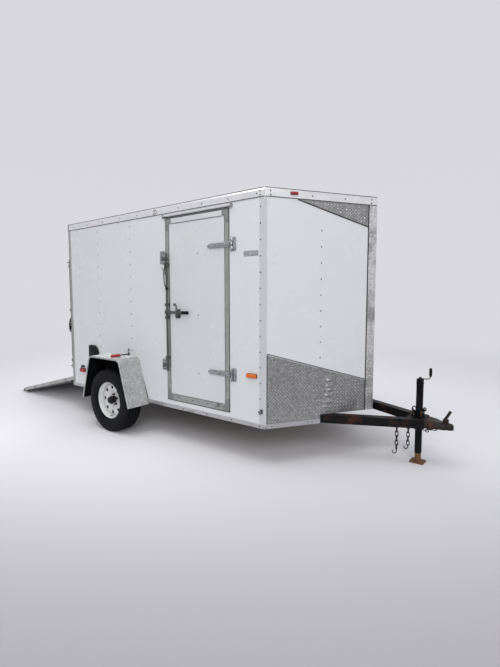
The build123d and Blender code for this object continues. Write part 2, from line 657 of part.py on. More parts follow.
# Ball coupler: a pressed neck that tapers to a round head, with the ball socket in it
HEAD_X = NOSE_X + COUPLER_REACH - HEAD_RADIUS
HEAD_TOP = HEAD_BOTTOM + HEAD_HEIGHT
with BuildPart() as coupler:
    with BuildSketch(Plane.XY.offset(HEAD_BOTTOM)):
        with BuildLine():
            Polyline(
                (TONGUE_FRONT, -NECK_WIDTH / 2),
                (HEAD_X, -HEAD_RADIUS),
                (HEAD_X, HEAD_RADIUS),
                (TONGUE_FRONT, NECK_WIDTH / 2),
                close=True,
            )
        make_face()
    extrude(amount=FRAME_TOP - HEAD_BOTTOM)
    with BuildSketch(Plane.XZ.offset(-NECK_WIDTH)):
        with BuildLine():
            Polyline(
                (TONGUE_FRONT, HEAD_BOTTOM),
                (HEAD_X, HEAD_BOTTOM),
                (HEAD_X, HEAD_TOP),
                (HEAD_X - 1.5 * HEAD_RADIUS, HEAD_TOP),
                (TONGUE_FRONT, FRAME_TOP),
                close=True,
            )
        make_face()
    extrude(amount=2 * NECK_WIDTH, mode=Mode.INTERSECT)
    with BuildSketch(Plane.XY.offset(HEAD_BOTTOM)):
        with Locations((HEAD_X, 0)):
            Circle(HEAD_RADIUS)
    extrude(amount=HEAD_HEIGHT)
    with BuildSketch(Plane.XY.offset(HEAD_BOTTOM)):
        with Locations((HEAD_X, 0)):
            Circle(SOCKET_RADIUS)
    extrude(amount=SOCKET_DEPTH, mode=Mode.SUBTRACT)
    with Locations((HEAD_X, 0, HEAD_BOTTOM + SOCKET_DEPTH)):
        Cone(
            SOCKET_RADIUS,
            SOCKET_RADIUS / 2,
            SOCKET_RADIUS * 0.75,
            align=(Align.CENTER, Align.CENTER, Align.MIN),
            mode=Mode.SUBTRACT,
        )
coupler.part.label = "coupler"
export_step(coupler.part, "parts/coupler.step")

# Coupler latch: a pivot block and a raised lever
LATCH_WIDTH = 26.0
LATCH_X = HEAD_X - 27.0
LEVER_THICKNESS = 9.0
with BuildPart() as coupler_latch:
    with BuildSketch(Plane.XZ.offset(-LATCH_WIDTH / 2)):
        with BuildLine():
            Polyline(
                (LATCH_X - 26, HEAD_TOP),
                (LATCH_X + 26, HEAD_TOP),
                (LATCH_X + 20, HEAD_TOP + 34),
                (HEAD_X + 9, LATCH_TOP - LEVER_THICKNESS),
                (HEAD_X + 3, LATCH_TOP),
                (LATCH_X - 8, HEAD_TOP + 40),
                close=True,
            )
        make_face()
    extrude(amount=LATCH_WIDTH)
coupler_latch.part.label = "coupler_latch"
export_step(coupler_latch.part, "parts/coupler_latch.step")

# Tongue jack: outer tube with a mounting flange
FLANGES = (
    # height over the tongue plate, thickness, corner radius
    (0.0, 8.0, 88.0),
    (34.0, 12.0, 74.0),
)
COLLAR_RADIUS = 44.0
JACK_CAP = 8.0
PLATE_TOP = FRAME_TOP + PLATE_THICKNESS
with BuildPart() as jack_tube:
    with BuildSketch(Plane.XY.offset(JACK_BOTTOM)):
        with Locations((JACK_X, 0)):
            Circle(JACK_RADIUS)
    extrude(amount=JACK_TOP - JACK_BOTTOM)
    for rise, thickness, corner_radius in FLANGES:
        with BuildSketch(Plane.XY.offset(PLATE_TOP + rise)):
            with Locations((JACK_X, 0)):
                flange_triangle = RegularPolygon(corner_radius, 3, rotation=180)
            chamfer(flange_triangle.vertices(), length=24)
        extrude(amount=thickness)
    with BuildSketch(Plane.XY.offset(PLATE_TOP)):
        with Locations((JACK_X, 0)):
            RegularPolygon(COLLAR_RADIUS, 8)
    extrude(amount=FLANGES[-1][0])
    with BuildSketch(Plane.XY.offset(JACK_BOTTOM)):
        with Locations((JACK_X, 0)):
            Circle(JACK_RADIUS - JACK_WALL)
    extrude(amount=JACK_TOP - JACK_CAP - JACK_BOTTOM, mode=Mode.SUBTRACT)
jack_tube.part.label = "jack_tube"
export_step(jack_tube.part, "parts/jack_tube.step")

# Jack crank: gear head, arm and upright grip
CRANK_HEAD = 22.0
CRANK_ARM_SIZE = 14.0
GRIP_RADIUS = 13.0
CRANK_Z = JACK_TOP + CRANK_HEAD
with BuildPart() as jack_crank:
    with BuildSketch(Plane.XY.offset(JACK_TOP)):
        with Locations((JACK_X, 0)):
            Circle(JACK_RADIUS + 3)
    extrude(amount=CRANK_HEAD)
    chamfer(jack_crank.faces().sort_by(Axis.Z)[-1].edges(), length=8)
    with BuildSketch(Plane.XY.offset(CRANK_Z)):
        with Locations((JACK_X + CRANK_ARM / 2, 0)):
            Rectangle(CRANK_ARM + 2 * CRANK_ARM_SIZE, CRANK_ARM_SIZE)
    extrude(amount=CRANK_ARM_SIZE / 2)
    with BuildSketch(Plane.XY.offset(CRANK_Z)):
        with Locations((JACK_X + CRANK_ARM, 0)):
            RegularPolygon(GRIP_RADIUS, 8)
    extrude(amount=CRANK_TOP - CRANK_Z)
jack_crank.part.label = "jack_crank"
export_step(jack_crank.part, "parts/jack_crank.step")

# Jack leg: inner tube welded to a square foot that stands on the ground
LEG_RADIUS = JACK_RADIUS - JACK_WALL - JACK_CLEARANCE
with BuildPart() as jack_leg:
    with BuildSketch():
        with Locations((JACK_X, 0)):
            Rectangle(FOOT_SIZE, FOOT_SIZE)
    extrude(amount=FOOT_THICKNESS)
    fillet(jack_leg.edges().filter_by(Axis.Z), radius=12)
    with BuildSketch(Plane.XY.offset(FOOT_THICKNESS)):
        with Locations((JACK_X, 0)):
            Circle(LEG_RADIUS)
            Circle(LEG_RADIUS - JACK_WALL, mode=Mode.SUBTRACT)
    extrude(amount=JACK_LEG_TOP - FOOT_THICKNESS)
jack_leg.part.label = "jack_leg"
export_step(jack_leg.part, "parts/jack_leg.step")

# Safety chains: a row of links hangs under each tongue tube and ends in a hook
LINK_PITCH = 40.0
LINK_WIRE = 9.0
LINK_WIDTH = 33.0
LINK_SLACK = 0.3
HOOK_WIRE = 9.0
HOOK_RADIUS = 17.0
HOOK_STEM = 1.6
HOOK_TURN = 200
HOOK_STEP = 40
CHAINS = (
    # x from the nose corner, side, length of the row of links
    (893.0, -1, 205.0),
    (911.0, 1, 245.0),
)


def link_path(plane, half_length, half_width):
    """A closed eight-sided loop for one chain link."""
    corner = half_width * 0.6
    with BuildLine(plane) as path:
        Polyline(
            (half_width, 0),
            (half_width, half_length - corner),
            (corner / 2, half_length),
            (-corner / 2, half_length),
            (-half_width, half_length - corner),
            (-half_width, corner - half_length),
            (-corner / 2, -half_length),
            (corner / 2, -half_length),
            (half_width, corner - half_length),
            close=True,
        )
    return path


with BuildPart() as safety_chains:
    for place, side, drop in CHAINS:
        chain_x = NOSE_X + place
        chain_y = side * tongue_y(chain_x)
        top = FRAME_BOTTOM - LINK_SLACK - LINK_WIRE / 2
        reach = (LINK_PITCH + LINK_WIRE + LINK_SLACK) / 2
        count = int(drop / LINK_PITCH)
        for link in range(count):
            centre = top - reach - link * LINK_PITCH
            x_dir = (1, 0, 0) if link % 2 else (0, 1, 0)
            z_dir = (0, -1, 0) if link % 2 else (1, 0, 0)
            link_plane = Plane(origin=(chain_x, chain_y, centre), x_dir=x_dir, z_dir=z_dir)
            path = link_path(link_plane, reach, (LINK_WIDTH - LINK_WIRE) / 2)
            start = path.line @ 0
            with BuildSketch(Plane(origin=start, x_dir=x_dir, z_dir=(0, 0, 1))):
                RegularPolygon(LINK_WIRE / 2, 6)
            sweep(path=path.line, transition=Transition.RIGHT)
        hook_top = top - reach - count * LINK_PITCH + reach
        hook_plane = Plane(origin=(chain_x, chain_y, hook_top), x_dir=(1, 0, 0), z_dir=(0, -1, 0))
        bend = [
            (HOOK_RADIUS * (cos(radians(turn)) - 1), HOOK_RADIUS * (sin(radians(turn)) - HOOK_STEM))
            for turn in range(0, -HOOK_TURN - 1, -HOOK_STEP)
        ]
        with BuildLine(hook_plane) as hook_path:
            Polyline((0, 0), *bend)
        with BuildSketch(Plane(origin=hook_path.line @ 0, x_dir=(1, 0, 0), z_dir=(0, 0, -1))):
            RegularPolygon(HOOK_WIRE / 2, 6)
        sweep(path=hook_path.line, transition=Transition.RIGHT)
safety_chains.part.label = "safety_chains"
export_step(safety_chains.part, "parts/safety_chains.step")

# Drop axle: a beam under the frame, arms that rise outside the body and the wheel spindles
BEAM_Z = TYRE_RADIUS - AXLE_DROP
ARM_INNER = HALF + 8.0
ARM_THICKNESS = 16.0
SPINDLE_END = WHEEL_TRACK_HALF + 24.0
with BuildPart() as axle:
    with BuildSketch(Plane.XZ):
        with Locations((WHEEL_X, BEAM_Z)):
            Circle(AXLE_RADIUS)
    extrude(amount=ARM_INNER)
    with BuildSketch(Plane.XZ.offset(ARM_INNER)):
        with Locations((WHEEL_X, TYRE_RADIUS - AXLE_DROP / 2)):
            SlotCenterToCenter(AXLE_DROP, 2 * AXLE_RADIUS, rotation=90)
    extrude(amount=ARM_THICKNESS)
    with BuildSketch(Plane.XZ.offset(ARM_INNER + ARM_THICKNESS)):
        with Locations((WHEEL_X, TYRE_RADIUS)):
            Circle(SPINDLE_RADIUS)
    extrude(amount=SPINDLE_END - ARM_INNER - ARM_THICKNESS)
    mirror(about=Plane.XZ)
axle.part.label = "axle"
export_step(axle.part, "parts/axle.step")

# Leaf springs: stacked leaves on one arc, the top leaf with an eye at each end
LEAF_SPANS = (0.45, 0.72, 1.0)
SPRING_SEAT = BEAM_Z + AXLE_RADIUS
EYE_RADIUS = 12.0
EYE_BORE = 6.3
SPRING_RADIUS = ((SPRING_SPAN / 2) ** 2 + LEAF_SAG**2) / (2 * LEAF_SAG)
EYE_Z = SPRING_SEAT + 2.5 * LEAF_THICKNESS + LEAF_SAG
with BuildPart() as leaf_springs:
    for index, share in enumerate(LEAF_SPANS):
        half_span = share * SPRING_SPAN / 2
        low = SPRING_SEAT + index * LEAF_THICKNESS
        low_radius = SPRING_RADIUS - index * LEAF_THICKNESS
        high_radius = low_radius - LEAF_THICKNESS
        low_rise = low_radius - (low_radius**2 - half_span**2) ** 0.5
        high_rise = high_radius - (high_radius**2 - half_span**2) ** 0.5
        with BuildSketch(Plane.XZ.offset(SPRING_Y - SPRING_WIDTH / 2)):
            with BuildLine():
                lower = ThreePointArc(
                    (WHEEL_X - half_span, low + low_rise), (WHEEL_X, low), (WHEEL_X + half_span, low + low_rise)
                )
                upper = ThreePointArc(
                    (WHEEL_X - half_span, low + LEAF_THICKNESS + high_rise),
                    (WHEEL_X, low + LEAF_THICKNESS),
                    (WHEEL_X + half_span, low + LEAF_THICKNESS + high_rise),
                )
                Line(lower @ 0, upper @ 0)
                Line(lower @ 1, upper @ 1)
            make_face()
        extrude(amount=SPRING_WIDTH)
    with BuildSketch(Plane.XZ.offset(SPRING_Y - SPRING_WIDTH / 2)):
        with Locations((WHEEL_X - SPRING_SPAN / 2, EYE_Z), (WHEEL_X + SPRING_SPAN / 2, EYE_Z)):
            RegularPolygon(EYE_RADIUS, KNUCKLE_SIDES)
    extrude(amount=SPRING_WIDTH)
    with BuildSketch(Plane.XZ.offset(SPRING_Y - SPRING_WIDTH)):
        with Locations((WHEEL_X - SPRING_SPAN / 2, EYE_Z), (WHEEL_X + SPRING_SPAN / 2, EYE_Z)):
            RegularPolygon(EYE_BORE, KNUCKLE_SIDES, major_radius=False)
    extrude(amount=2 * SPRING_WIDTH, mode=Mode.SUBTRACT)
    mirror(about=Plane.XZ)
leaf_springs.part.label = "leaf_springs"
export_step(leaf_springs.part, "parts/leaf_springs.step")

# Spring hangers: two cheeks, a top plate on the frame rail and a pin through each spring eye
HANGER_WIDTH = 44.0
HANGER_CHEEK = 4.0
HANGER_SLACK = 0.5
HANGER_TOP = 5.0
HANGER_PIN = 6.0
cheek_out = SPRING_WIDTH / 2 + HANGER_SLACK + HANGER_CHEEK
with BuildPart() as spring_hangers:
    for end in (-1, 1):
        hanger_x = WHEEL_X + end * SPRING_SPAN / 2
        with BuildSketch(Plane.XZ.offset(SPRING_Y - cheek_out)):
            with BuildLine():
                Polyline(
                    (hanger_x - HANGER_WIDTH / 2, FRAME_BOTTOM),
                    (hanger_x + HANGER_WIDTH / 2, FRAME_BOTTOM),
                    (hanger_x + EYE_RADIUS, EYE_Z - EYE_RADIUS),
                    (hanger_x - EYE_RADIUS, EYE_Z - EYE_RADIUS),
                    close=True,
                )
            make_face()
        extrude(amount=2 * cheek_out)
        with BuildSketch(Plane.XZ.offset(SPRING_Y - cheek_out + HANGER_CHEEK)):
            with Locations((hanger_x, FRAME_BOTTOM - HANGER_TOP)):
                Rectangle(2 * HANGER_WIDTH, 2 * HANGER_WIDTH, align=(Align.CENTER, Align.MAX))
        extrude(amount=2 * (cheek_out - HANGER_CHEEK), mode=Mode.SUBTRACT)
        with BuildSketch(Plane.XZ.offset(SPRING_Y - cheek_out)):
            with Locations((hanger_x, EYE_Z)):
                RegularPolygon(HANGER_PIN, PIN_SIDES)
        extrude(amount=2 * cheek_out)
    mirror(about=Plane.XZ)
spring_hangers.part.label = "spring_hangers"
export_step(spring_hangers.part, "parts/spring_hangers.step")

# Wheels: tyre, pressed steel rim with round holes, and a hub on the spindle
BEAD_HALF = 71.0
SIDE_BULGE_RADIUS = 246.0
SHOULDER_DROP = 16.0
TREAD_HALF = 86.0
RIM_SHEET = 6.0
DISC_SHEET = 6.0
DISC_IN = 12.0
DISC_OUT = 34.0
DISC_STEP_RADIUS = 96.0
HUB_IN = 112.0
HUB_OUT = 44.0
HUB_CAP_RADIUS = 31.0
HUB_CAP_OUT = 72.0
BORE_END = 32.0
for side, sign in (("right", -1), ("left", 1)):
    wheel_section = Plane(
        origin=(WHEEL_X, sign * WHEEL_TRACK_HALF, TYRE_RADIUS), x_dir=(0, sign, 0), z_dir=(1, 0, 0)
    )
    wheel_axis = Axis((WHEEL_X, sign * WHEEL_TRACK_HALF, TYRE_RADIUS), (0, 1, 0))
    with BuildPart() as tyre:
        with BuildSketch(wheel_section):
            with BuildLine():
                Polyline(
                    (-BEAD_HALF, RIM_RADIUS),
                    (BEAD_HALF, RIM_RADIUS),
                    (TYRE_WIDTH / 2, SIDE_BULGE_RADIUS),
                    (TYRE_WIDTH / 2, TYRE_RADIUS - SHOULDER_DROP),
                    (TREAD_HALF, TYRE_RADIUS),
                    (-TREAD_HALF, TYRE_RADIUS),
                    (-TYRE_WIDTH / 2, TYRE_RADIUS - SHOULDER_DROP),
                    (-TYRE_WIDTH / 2, SIDE_BULGE_RADIUS),
                    close=True,
                )
            make_face()
        revolve(axis=wheel_axis)
    tyre.part.label = f"tyre_{side}"
    export_step(tyre.part, f"parts/tyre_{side}.step")

    with BuildPart() as rim:
        with BuildSketch(wheel_section):
            with Locations((0, RIM_RADIUS)):
                Rectangle(2 * RIM_HALF_WIDTH, RIM_SHEET, align=(Align.CENTER, Align.MAX))
            with BuildLine():
                Polyline(
                    (DISC_IN, HUB_RADIUS),
                    (DISC_IN, DISC_STEP_RADIUS),
                    (DISC_OUT, DISC_STEP_RADIUS),
                    (DISC_OUT, RIM_RADIUS - RIM_SHEET / 2),
                    (DISC_OUT - DISC_SHEET, RIM_RADIUS - RIM_SHEET / 2),
                    (DISC_OUT - DISC_SHEET, DISC_STEP_RADIUS + DISC_SHEET),
                    (DISC_IN - DISC_SHEET, DISC_STEP_RADIUS + DISC_SHEET),
                    (DISC_IN - DISC_SHEET, HUB_RADIUS),
                    close=True,
                )
            make_face()
        revolve(axis=wheel_axis)
        hole_plane = Plane(
            origin=(WHEEL_X, sign * WHEEL_TRACK_HALF, TYRE_RADIUS), x_dir=(1, 0, 0), z_dir=(0, sign, 0)
        )
        with BuildSketch(hole_plane):
            with PolarLocations(RIM_HOLE_CIRCLE, RIM_HOLES):
                RegularPolygon(RIM_HOLE_RADIUS, 12)
        extrude(amount=RIM_HALF_WIDTH, mode=Mode.SUBTRACT)
    rim.part.label = f"rim_{side}"
    export_step(rim.part, f"parts/rim_{side}.step")

    with BuildPart() as hub:
        with BuildSketch(wheel_section):
            with BuildLine():
                Polyline(
                    (-HUB_IN, SPINDLE_RADIUS + BEARING_GAP),
                    (-HUB_IN, HUB_RADIUS),
                    (HUB_OUT, HUB_RADIUS),
                    (HUB_OUT, HUB_CAP_RADIUS),
                    (HUB_CAP_OUT, HUB_CAP_RADIUS),
                    (HUB_CAP_OUT, 0),
                    (BORE_END, 0),
                    (BORE_END, SPINDLE_RADIUS + BEARING_GAP),
                    close=True,
                )
            make_face()
        revolve(axis=wheel_axis)
    hub.part.label = f"hub_{side}"
    export_step(hub.part, f"parts/hub_{side}.step")

# Fenders: folded sheet arches with a deeper outer lip, scribed over the bottom trim
FENDER_X = WHEEL_X - FENDER_BEHIND
SCRIBE_GAP = 0.3
with BuildPart() as fenders:
    for depth, start, sheet in (
        (FENDER_DEPTH, 0, FENDER_SHEET),
        (FENDER_SHEET, FENDER_DEPTH - FENDER_SHEET, FENDER_LIP),
    ):
        with BuildSketch(Plane.XZ.offset(HALF + start)):
            foot_slope = (FENDER_FOOT_LENGTH - FENDER_TOP_LENGTH) / 2 / (FENDER_TOP - FENDER_FOOT)
            with BuildLine():
                Polyline(
                    (FENDER_X - FENDER_TOP_LENGTH / 2, FENDER_TOP),
                    (FENDER_X + FENDER_TOP_LENGTH / 2, FENDER_TOP),
                    (FENDER_X + FENDER_TOP_LENGTH / 2 + foot_slope * FENDER_TOP, 0),
                    (FENDER_X - FENDER_TOP_LENGTH / 2 - foot_slope * FENDER_TOP, 0),
                    close=True,
                )
            arch = make_face()
            fillet(arch.vertices().group_by(Axis.Y)[-1], radius=FENDER_BEND)
            offset(amount=-sheet, mode=Mode.SUBTRACT)
            with Locations((FENDER_X, FENDER_FOOT)):
                Rectangle(
                    2 * FENDER_FOOT_LENGTH,
                    FENDER_TOP,
                    align=(Align.CENTER, Align.MIN),
                    mode=Mode.INTERSECT,
                )
        extrude(amount=depth)
    with BuildSketch(Plane.XZ.offset(HALF - 1)):
        with Locations((FENDER_X, J_BOTTOM - 40)):
            Rectangle(2 * FENDER_FOOT_LENGTH, J_TRIM + 40 + SCRIBE_GAP, align=(Align.CENTER, Align.MIN))
    extrude(amount=J_SHEET + SCRIBE_GAP + 1, mode=Mode.SUBTRACT)
    mirror(about=Plane.XZ)
fenders.part.label = "fenders"
export_step(fenders.part, "parts/fenders.step")

# Black side vents behind the fenders
VENT_FROM_REAR = 503.0
VENT_WIDTH = 188.0
VENT_LOW = 640.0
VENT_HIGH = 886.0
VENT_OUT = 26.0
with BuildPart() as side_vents:
    with BuildSketch(Plane.YZ.offset(REAR_X + VENT_FROM_REAR - VENT_WIDTH / 2)):
        with BuildLine():
            Polyline(
                (-HALF, VENT_LOW),
                (-HALF - VENT_OUT, VENT_LOW),
                (-HALF - VENT_OUT, VENT_HIGH - VENT_OUT),
                (-HALF, VENT_HIGH),
                close=True,
            )
        make_face()
    extrude(amount=VENT_WIDTH)
    mirror(about=Plane.XZ)
side_vents.part.label = "side_vents"
export_step(side_vents.part, "parts/side_vents.step")

# Lamps on the sides: amber near the front, red near the rear
LAMP_OUT = 22.0
AMBER_LAMP = (133.0, 785.0, 115.0, 41.0)
RED_LAMP = (237.0, 554.0, 120.0, 55.0)
LAMP_CORNER = 10.0
with BuildPart() as lamps_amber:
    with BuildSketch(Plane.XZ.offset(HALF)):
        with Locations((NOSE_X - AMBER_LAMP[0], AMBER_LAMP[1])):
            amber_shape = Rectangle(AMBER_LAMP[2], AMBER_LAMP[3])
        chamfer(amber_shape.vertices(), length=LAMP_CORNER)
    extrude(amount=LAMP_OUT)
    mirror(about=Plane.XZ)
lamps_amber.part.label = "lamps_amber"
export_step(lamps_amber.part, "parts/lamps_amber.step")

# Red lamps: rear side markers, nose clearance lamps, three on the header and one by each rear post
CLEARANCE_LAMP = (265.0, TRIM_BOTTOM + 44.0, 72.0, 26.0)
CLEARANCE_OUT = 20.0
HEADER_LAMP_Y = (-150.0, 0.0, 150.0)
HEADER_LAMP_Z = TRIM_BOTTOM - 62.0
TAIL_LAMP = (HALF - 57.4, 780.0, 40.0, 150.0)
TAIL_OUT = 12.0
with BuildPart() as lamps_red:
    with BuildSketch(Plane.XZ.offset(HALF)):
        with Locations((REAR_X + RED_LAMP[0], RED_LAMP[1])):
            red_shape = Rectangle(RED_LAMP[2], RED_LAMP[3])
        chamfer(red_shape.vertices(), length=LAMP_CORNER)
    extrude(amount=LAMP_OUT)
    with BuildSketch(nose_plane.offset(TRIM_SHEET)):
        with Locations((CLEARANCE_LAMP[0], CLEARANCE_LAMP[1])):
            clearance_shape = Rectangle(CLEARANCE_LAMP[2], CLEARANCE_LAMP[3])
        chamfer(clearance_shape.vertices(), length=LAMP_CORNER)
    extrude(amount=CLEARANCE_OUT)
    with BuildSketch(Plane.YZ.offset(REAR_X)):
        with Locations((-TAIL_LAMP[0], TAIL_LAMP[1])):
            tail_shape = Rectangle(TAIL_LAMP[2], TAIL_LAMP[3])
        chamfer(tail_shape.vertices(), length=LAMP_CORNER)
    extrude(amount=-TAIL_OUT)
    mirror(about=Plane.XZ)
    with BuildSketch(Plane.YZ.offset(REAR_X)):
        with Locations([(y, HEADER_LAMP_Z) for y in HEADER_LAMP_Y]):
            Rectangle(CLEARANCE_LAMP[2], CLEARANCE_LAMP[3])
    extrude(amount=-CLEARANCE_OUT)
lamps_red.part.label = "lamps_red"
export_step(lamps_red.part, "parts/lamps_red.step")

# Lamps that stand out over the fenders on short stalks, each with a cable grommet above it
STALK_AHEAD = 52.0
STALK_RISE = 19.0
STALK_X = WHEEL_X + STALK_AHEAD
STALK_Z = FENDER_TOP + STALK_RISE
STALK_RADIUS = 7.0
STALK_END = 122.0
STALK_FOOT = (40.0, 26.0, 8.0)
STALK_LAMP = (32.0, 32.0, 112.0)
GROMMET_RISE = 50.0
GROMMET_RADIUS = 11.0
GROMMET_OUT = 6.0
with BuildPart() as fender_lamps:
    for width, height, from_wall, length in (
        (STALK_FOOT[0], STALK_FOOT[1], 0, STALK_FOOT[2]),
        (STALK_LAMP[0], STALK_LAMP[1], STALK_END, STALK_LAMP[2]),
    ):
        with BuildSketch(Plane.XZ.offset(HALF + from_wall)):
            with Locations((STALK_X, STALK_Z)):
                block = Rectangle(width, height)
            chamfer(block.vertices(), length=LAMP_CORNER)
        extrude(amount=length)
    with BuildSketch(Plane.XZ.offset(HALF)):
        with Locations((STALK_X, STALK_Z)):
            RegularPolygon(STALK_RADIUS, PIN_SIDES)
    extrude(amount=STALK_END)
    with BuildSketch(Plane.XZ.offset(HALF)):
        with Locations((STALK_X, STALK_Z + GROMMET_RISE)):
            RegularPolygon(GROMMET_RADIUS, KNUCKLE_SIDES)
    extrude(amount=GROMMET_OUT)
    mirror(about=Plane.XZ)
fender_lamps.part.label = "fender_lamps"
export_step(fender_lamps.part, "parts/fender_lamps.step")

# Drip rail over the side door
DRIP_Z = TRIM_BOTTOM - DRIP_DROP
DRIP_OVERHANG = 30.0
DRIP_OUT = 20.0
DRIP_DEPTH = 24.0
with BuildPart() as drip_rail:
    with BuildSketch(Plane.YZ.offset(DOOR_BACK - DRIP_OVERHANG)):
        with BuildLine():
            Polyline(
                (-HALF, DRIP_Z - DRIP_DEPTH / 2),
                (-HALF - 3, DRIP_Z - DRIP_DEPTH / 2),
                (-HALF - 3, DRIP_Z - 4),
                (-HALF - DRIP_OUT, DRIP_Z - 6),
                (-HALF - DRIP_OUT, DRIP_Z + 4),
                (-HALF - DRIP_OUT + 3, DRIP_Z + 4),
                (-HALF - DRIP_OUT + 3, DRIP_Z - 3),
                (-HALF - 3, DRIP_Z),
                (-HALF - 3, DRIP_Z + DRIP_DEPTH / 2),
                (-HALF, DRIP_Z + DRIP_DEPTH / 2),
                close=True,
            )
        make_face()
    extrude(amount=DOOR_WIDTH + DRIP_OVERHANG + 48)
drip_rail.part.label = "drip_rail"
export_step(drip_rail.part, "parts/drip_rail.step")

# Side door jamb: a liner round the doorway with a stop behind the leaf
STOP_SHEET = 3.0
STOP_WIDTH = 14.0
with BuildPart() as door_jamb:
    with BuildSketch(Plane.XZ.offset(HALF - WALL_THICKNESS)):
        with Locations((DOOR_MID, DOOR_MID_Z)):
            Rectangle(DOOR_WIDTH + 2 * JAMB_REACH, DOOR_HEIGHT + 2 * JAMB_REACH)
            Rectangle(DOOR_WIDTH + 2 * DOOR_GAP, DOOR_HEIGHT + 2 * DOOR_GAP, mode=Mode.SUBTRACT)
    extrude(amount=WALL_THICKNESS)
    with BuildSketch(Plane.XZ.offset(HALF - WALL_THICKNESS)):
        with Locations((DOOR_MID, DOOR_MID_Z)):
            Rectangle(DOOR_WIDTH + 2 * JAMB_REACH, DOOR_HEIGHT + 2 * JAMB_REACH)
            Rectangle(DOOR_WIDTH - STOP_WIDTH, DOOR_HEIGHT - STOP_WIDTH, mode=Mode.SUBTRACT)
    extrude(amount=STOP_SHEET)
door_jamb.part.label = "door_jamb"
export_step(door_jamb.part, "parts/door_jamb.step")

# Door leaf inside an aluminium edge frame with a deeper bottom rail
STOP_GAP = 5.0
LEAF_INSIDE = HALF - WALL_THICKNESS + STOP_SHEET + STOP_GAP
PANEL_LOW = DOOR_LOW + DOOR_RAIL_WIDTH
PANEL_HIGH = DOOR_HIGH - DOOR_FRAME_WIDTH
with BuildPart() as door_frame:
    with BuildSketch(Plane.XZ.offset(LEAF_INSIDE)):
        with Locations((DOOR_MID, DOOR_MID_Z)):
            Rectangle(DOOR_WIDTH, DOOR_HEIGHT)
        with Locations((DOOR_MID, (PANEL_LOW + PANEL_HIGH) / 2)):
            Rectangle(DOOR_WIDTH - 2 * DOOR_FRAME_WIDTH, PANEL_HIGH - PANEL_LOW, mode=Mode.SUBTRACT)
    extrude(amount=HALF + DOOR_FRAME_PROUD - LEAF_INSIDE)
door_frame.part.label = "door_frame"
export_step(door_frame.part, "parts/door_frame.step")

with BuildPart() as door_leaf:
    with BuildSketch(Plane.XZ.offset(LEAF_INSIDE)):
        with Locations((DOOR_MID, (PANEL_LOW + PANEL_HIGH) / 2)):
            Rectangle(DOOR_WIDTH - 2 * DOOR_FRAME_WIDTH, PANEL_HIGH - PANEL_LOW)
    extrude(amount=HALF - LEAF_INSIDE)
door_leaf.part.label = "door_leaf"
export_step(door_leaf.part, "parts/door_leaf.step")

# Strap hinges: a tapered strap with the middle knuckle on the door, a butt with pin on the wall
PIN_X = DOOR_FRONT + HINGE_AHEAD
PIN_Y = HALF + HINGE_OUT
STRAP_FACE = HALF + DOOR_FRAME_PROUD
STRAP_TIP = 9.0
STRAP_ROOT = 34.0
BUTT_WIDTH = 46.0
HINGE_HEIGHTS = (DOOR_LOW + HINGE_FROM_SILL, DOOR_HIGH - HINGE_FROM_HEAD)
third = HINGE_LENGTH / 3
with BuildPart() as hinge_straps:
    for height in HINGE_HEIGHTS:
        with BuildSketch(Plane.XZ.offset(STRAP_FACE)):
            with BuildLine():
                Polyline(
                    (PIN_X - KNUCKLE_RADIUS - 3, height - third / 2 + KNUCKLE_GAP),
                    (PIN_X, height - third / 2 + KNUCKLE_GAP),
                    (PIN_X, height + third / 2 - KNUCKLE_GAP),
                    (PIN_X - KNUCKLE_RADIUS - 3, height + third / 2 - KNUCKLE_GAP),
                    (PIN_X - KNUCKLE_RADIUS - 3, height + HINGE_LENGTH / 2),
                    (PIN_X - 40, height + HINGE_LENGTH / 2),
                    (PIN_X - 70, height + STRAP_ROOT),
                    (PIN_X - STRAP_LENGTH, height + STRAP_TIP),
                    (PIN_X - STRAP_LENGTH, height - STRAP_TIP),
                    (PIN_X - 70, height - STRAP_ROOT),
                    (PIN_X - 40, height - HINGE_LENGTH / 2),
                    (PIN_X - KNUCKLE_RADIUS - 3, height - HINGE_LENGTH / 2),
                    close=True,
                )
            make_face()
        extrude(amount=STRAP_THICKNESS)
        with BuildSketch(Plane.XY.offset(height - third / 2 + KNUCKLE_GAP)):
            with Locations((PIN_X, -PIN_Y)):
                RegularPolygon(KNUCKLE_RADIUS, KNUCKLE_SIDES)
        extrude(amount=third - 2 * KNUCKLE_GAP)
        with BuildSketch(Plane.XY.offset(height - third)):
            with Locations((PIN_X, -PIN_Y)):
                RegularPolygon(PIN_RADIUS + BEARING_GAP, KNUCKLE_SIDES, major_radius=False)
        extrude(amount=2 * third, mode=Mode.SUBTRACT)
hinge_straps.part.label = "hinge_straps"
export_step(hinge_straps.part, "parts/hinge_straps.step")

with BuildPart() as hinge_butts:
    for height in HINGE_HEIGHTS:
        with BuildSketch(Plane.XZ.offset(HALF)):
            with Locations((PIN_X, height)):
                Rectangle(BUTT_WIDTH, HINGE_LENGTH, align=(Align.MIN, Align.CENTER))
        extrude(amount=STRAP_THICKNESS)
        with BuildSketch(Plane.XY.offset(height - HINGE_LENGTH / 2)):
            with Locations((PIN_X, -PIN_Y)):
                RegularPolygon(KNUCKLE_RADIUS, KNUCKLE_SIDES)
        extrude(amount=HINGE_LENGTH)
        with BuildSketch(Plane.XY.offset(height - third / 2)):
            with Locations((PIN_X, -PIN_Y)):
                Rectangle(2 * KNUCKLE_RADIUS + 6, 4 * KNUCKLE_RADIUS)
        extrude(amount=third, mode=Mode.SUBTRACT)
        with BuildSketch(Plane.XY.offset(height - third / 2)):
            with Locations((PIN_X, -PIN_Y)):
                RegularPolygon(PIN_RADIUS, PIN_SIDES)
        extrude(amount=third)
hinge_butts.part.label = "hinge_butts"
export_step(hinge_butts.part, "parts/hinge_butts.step")

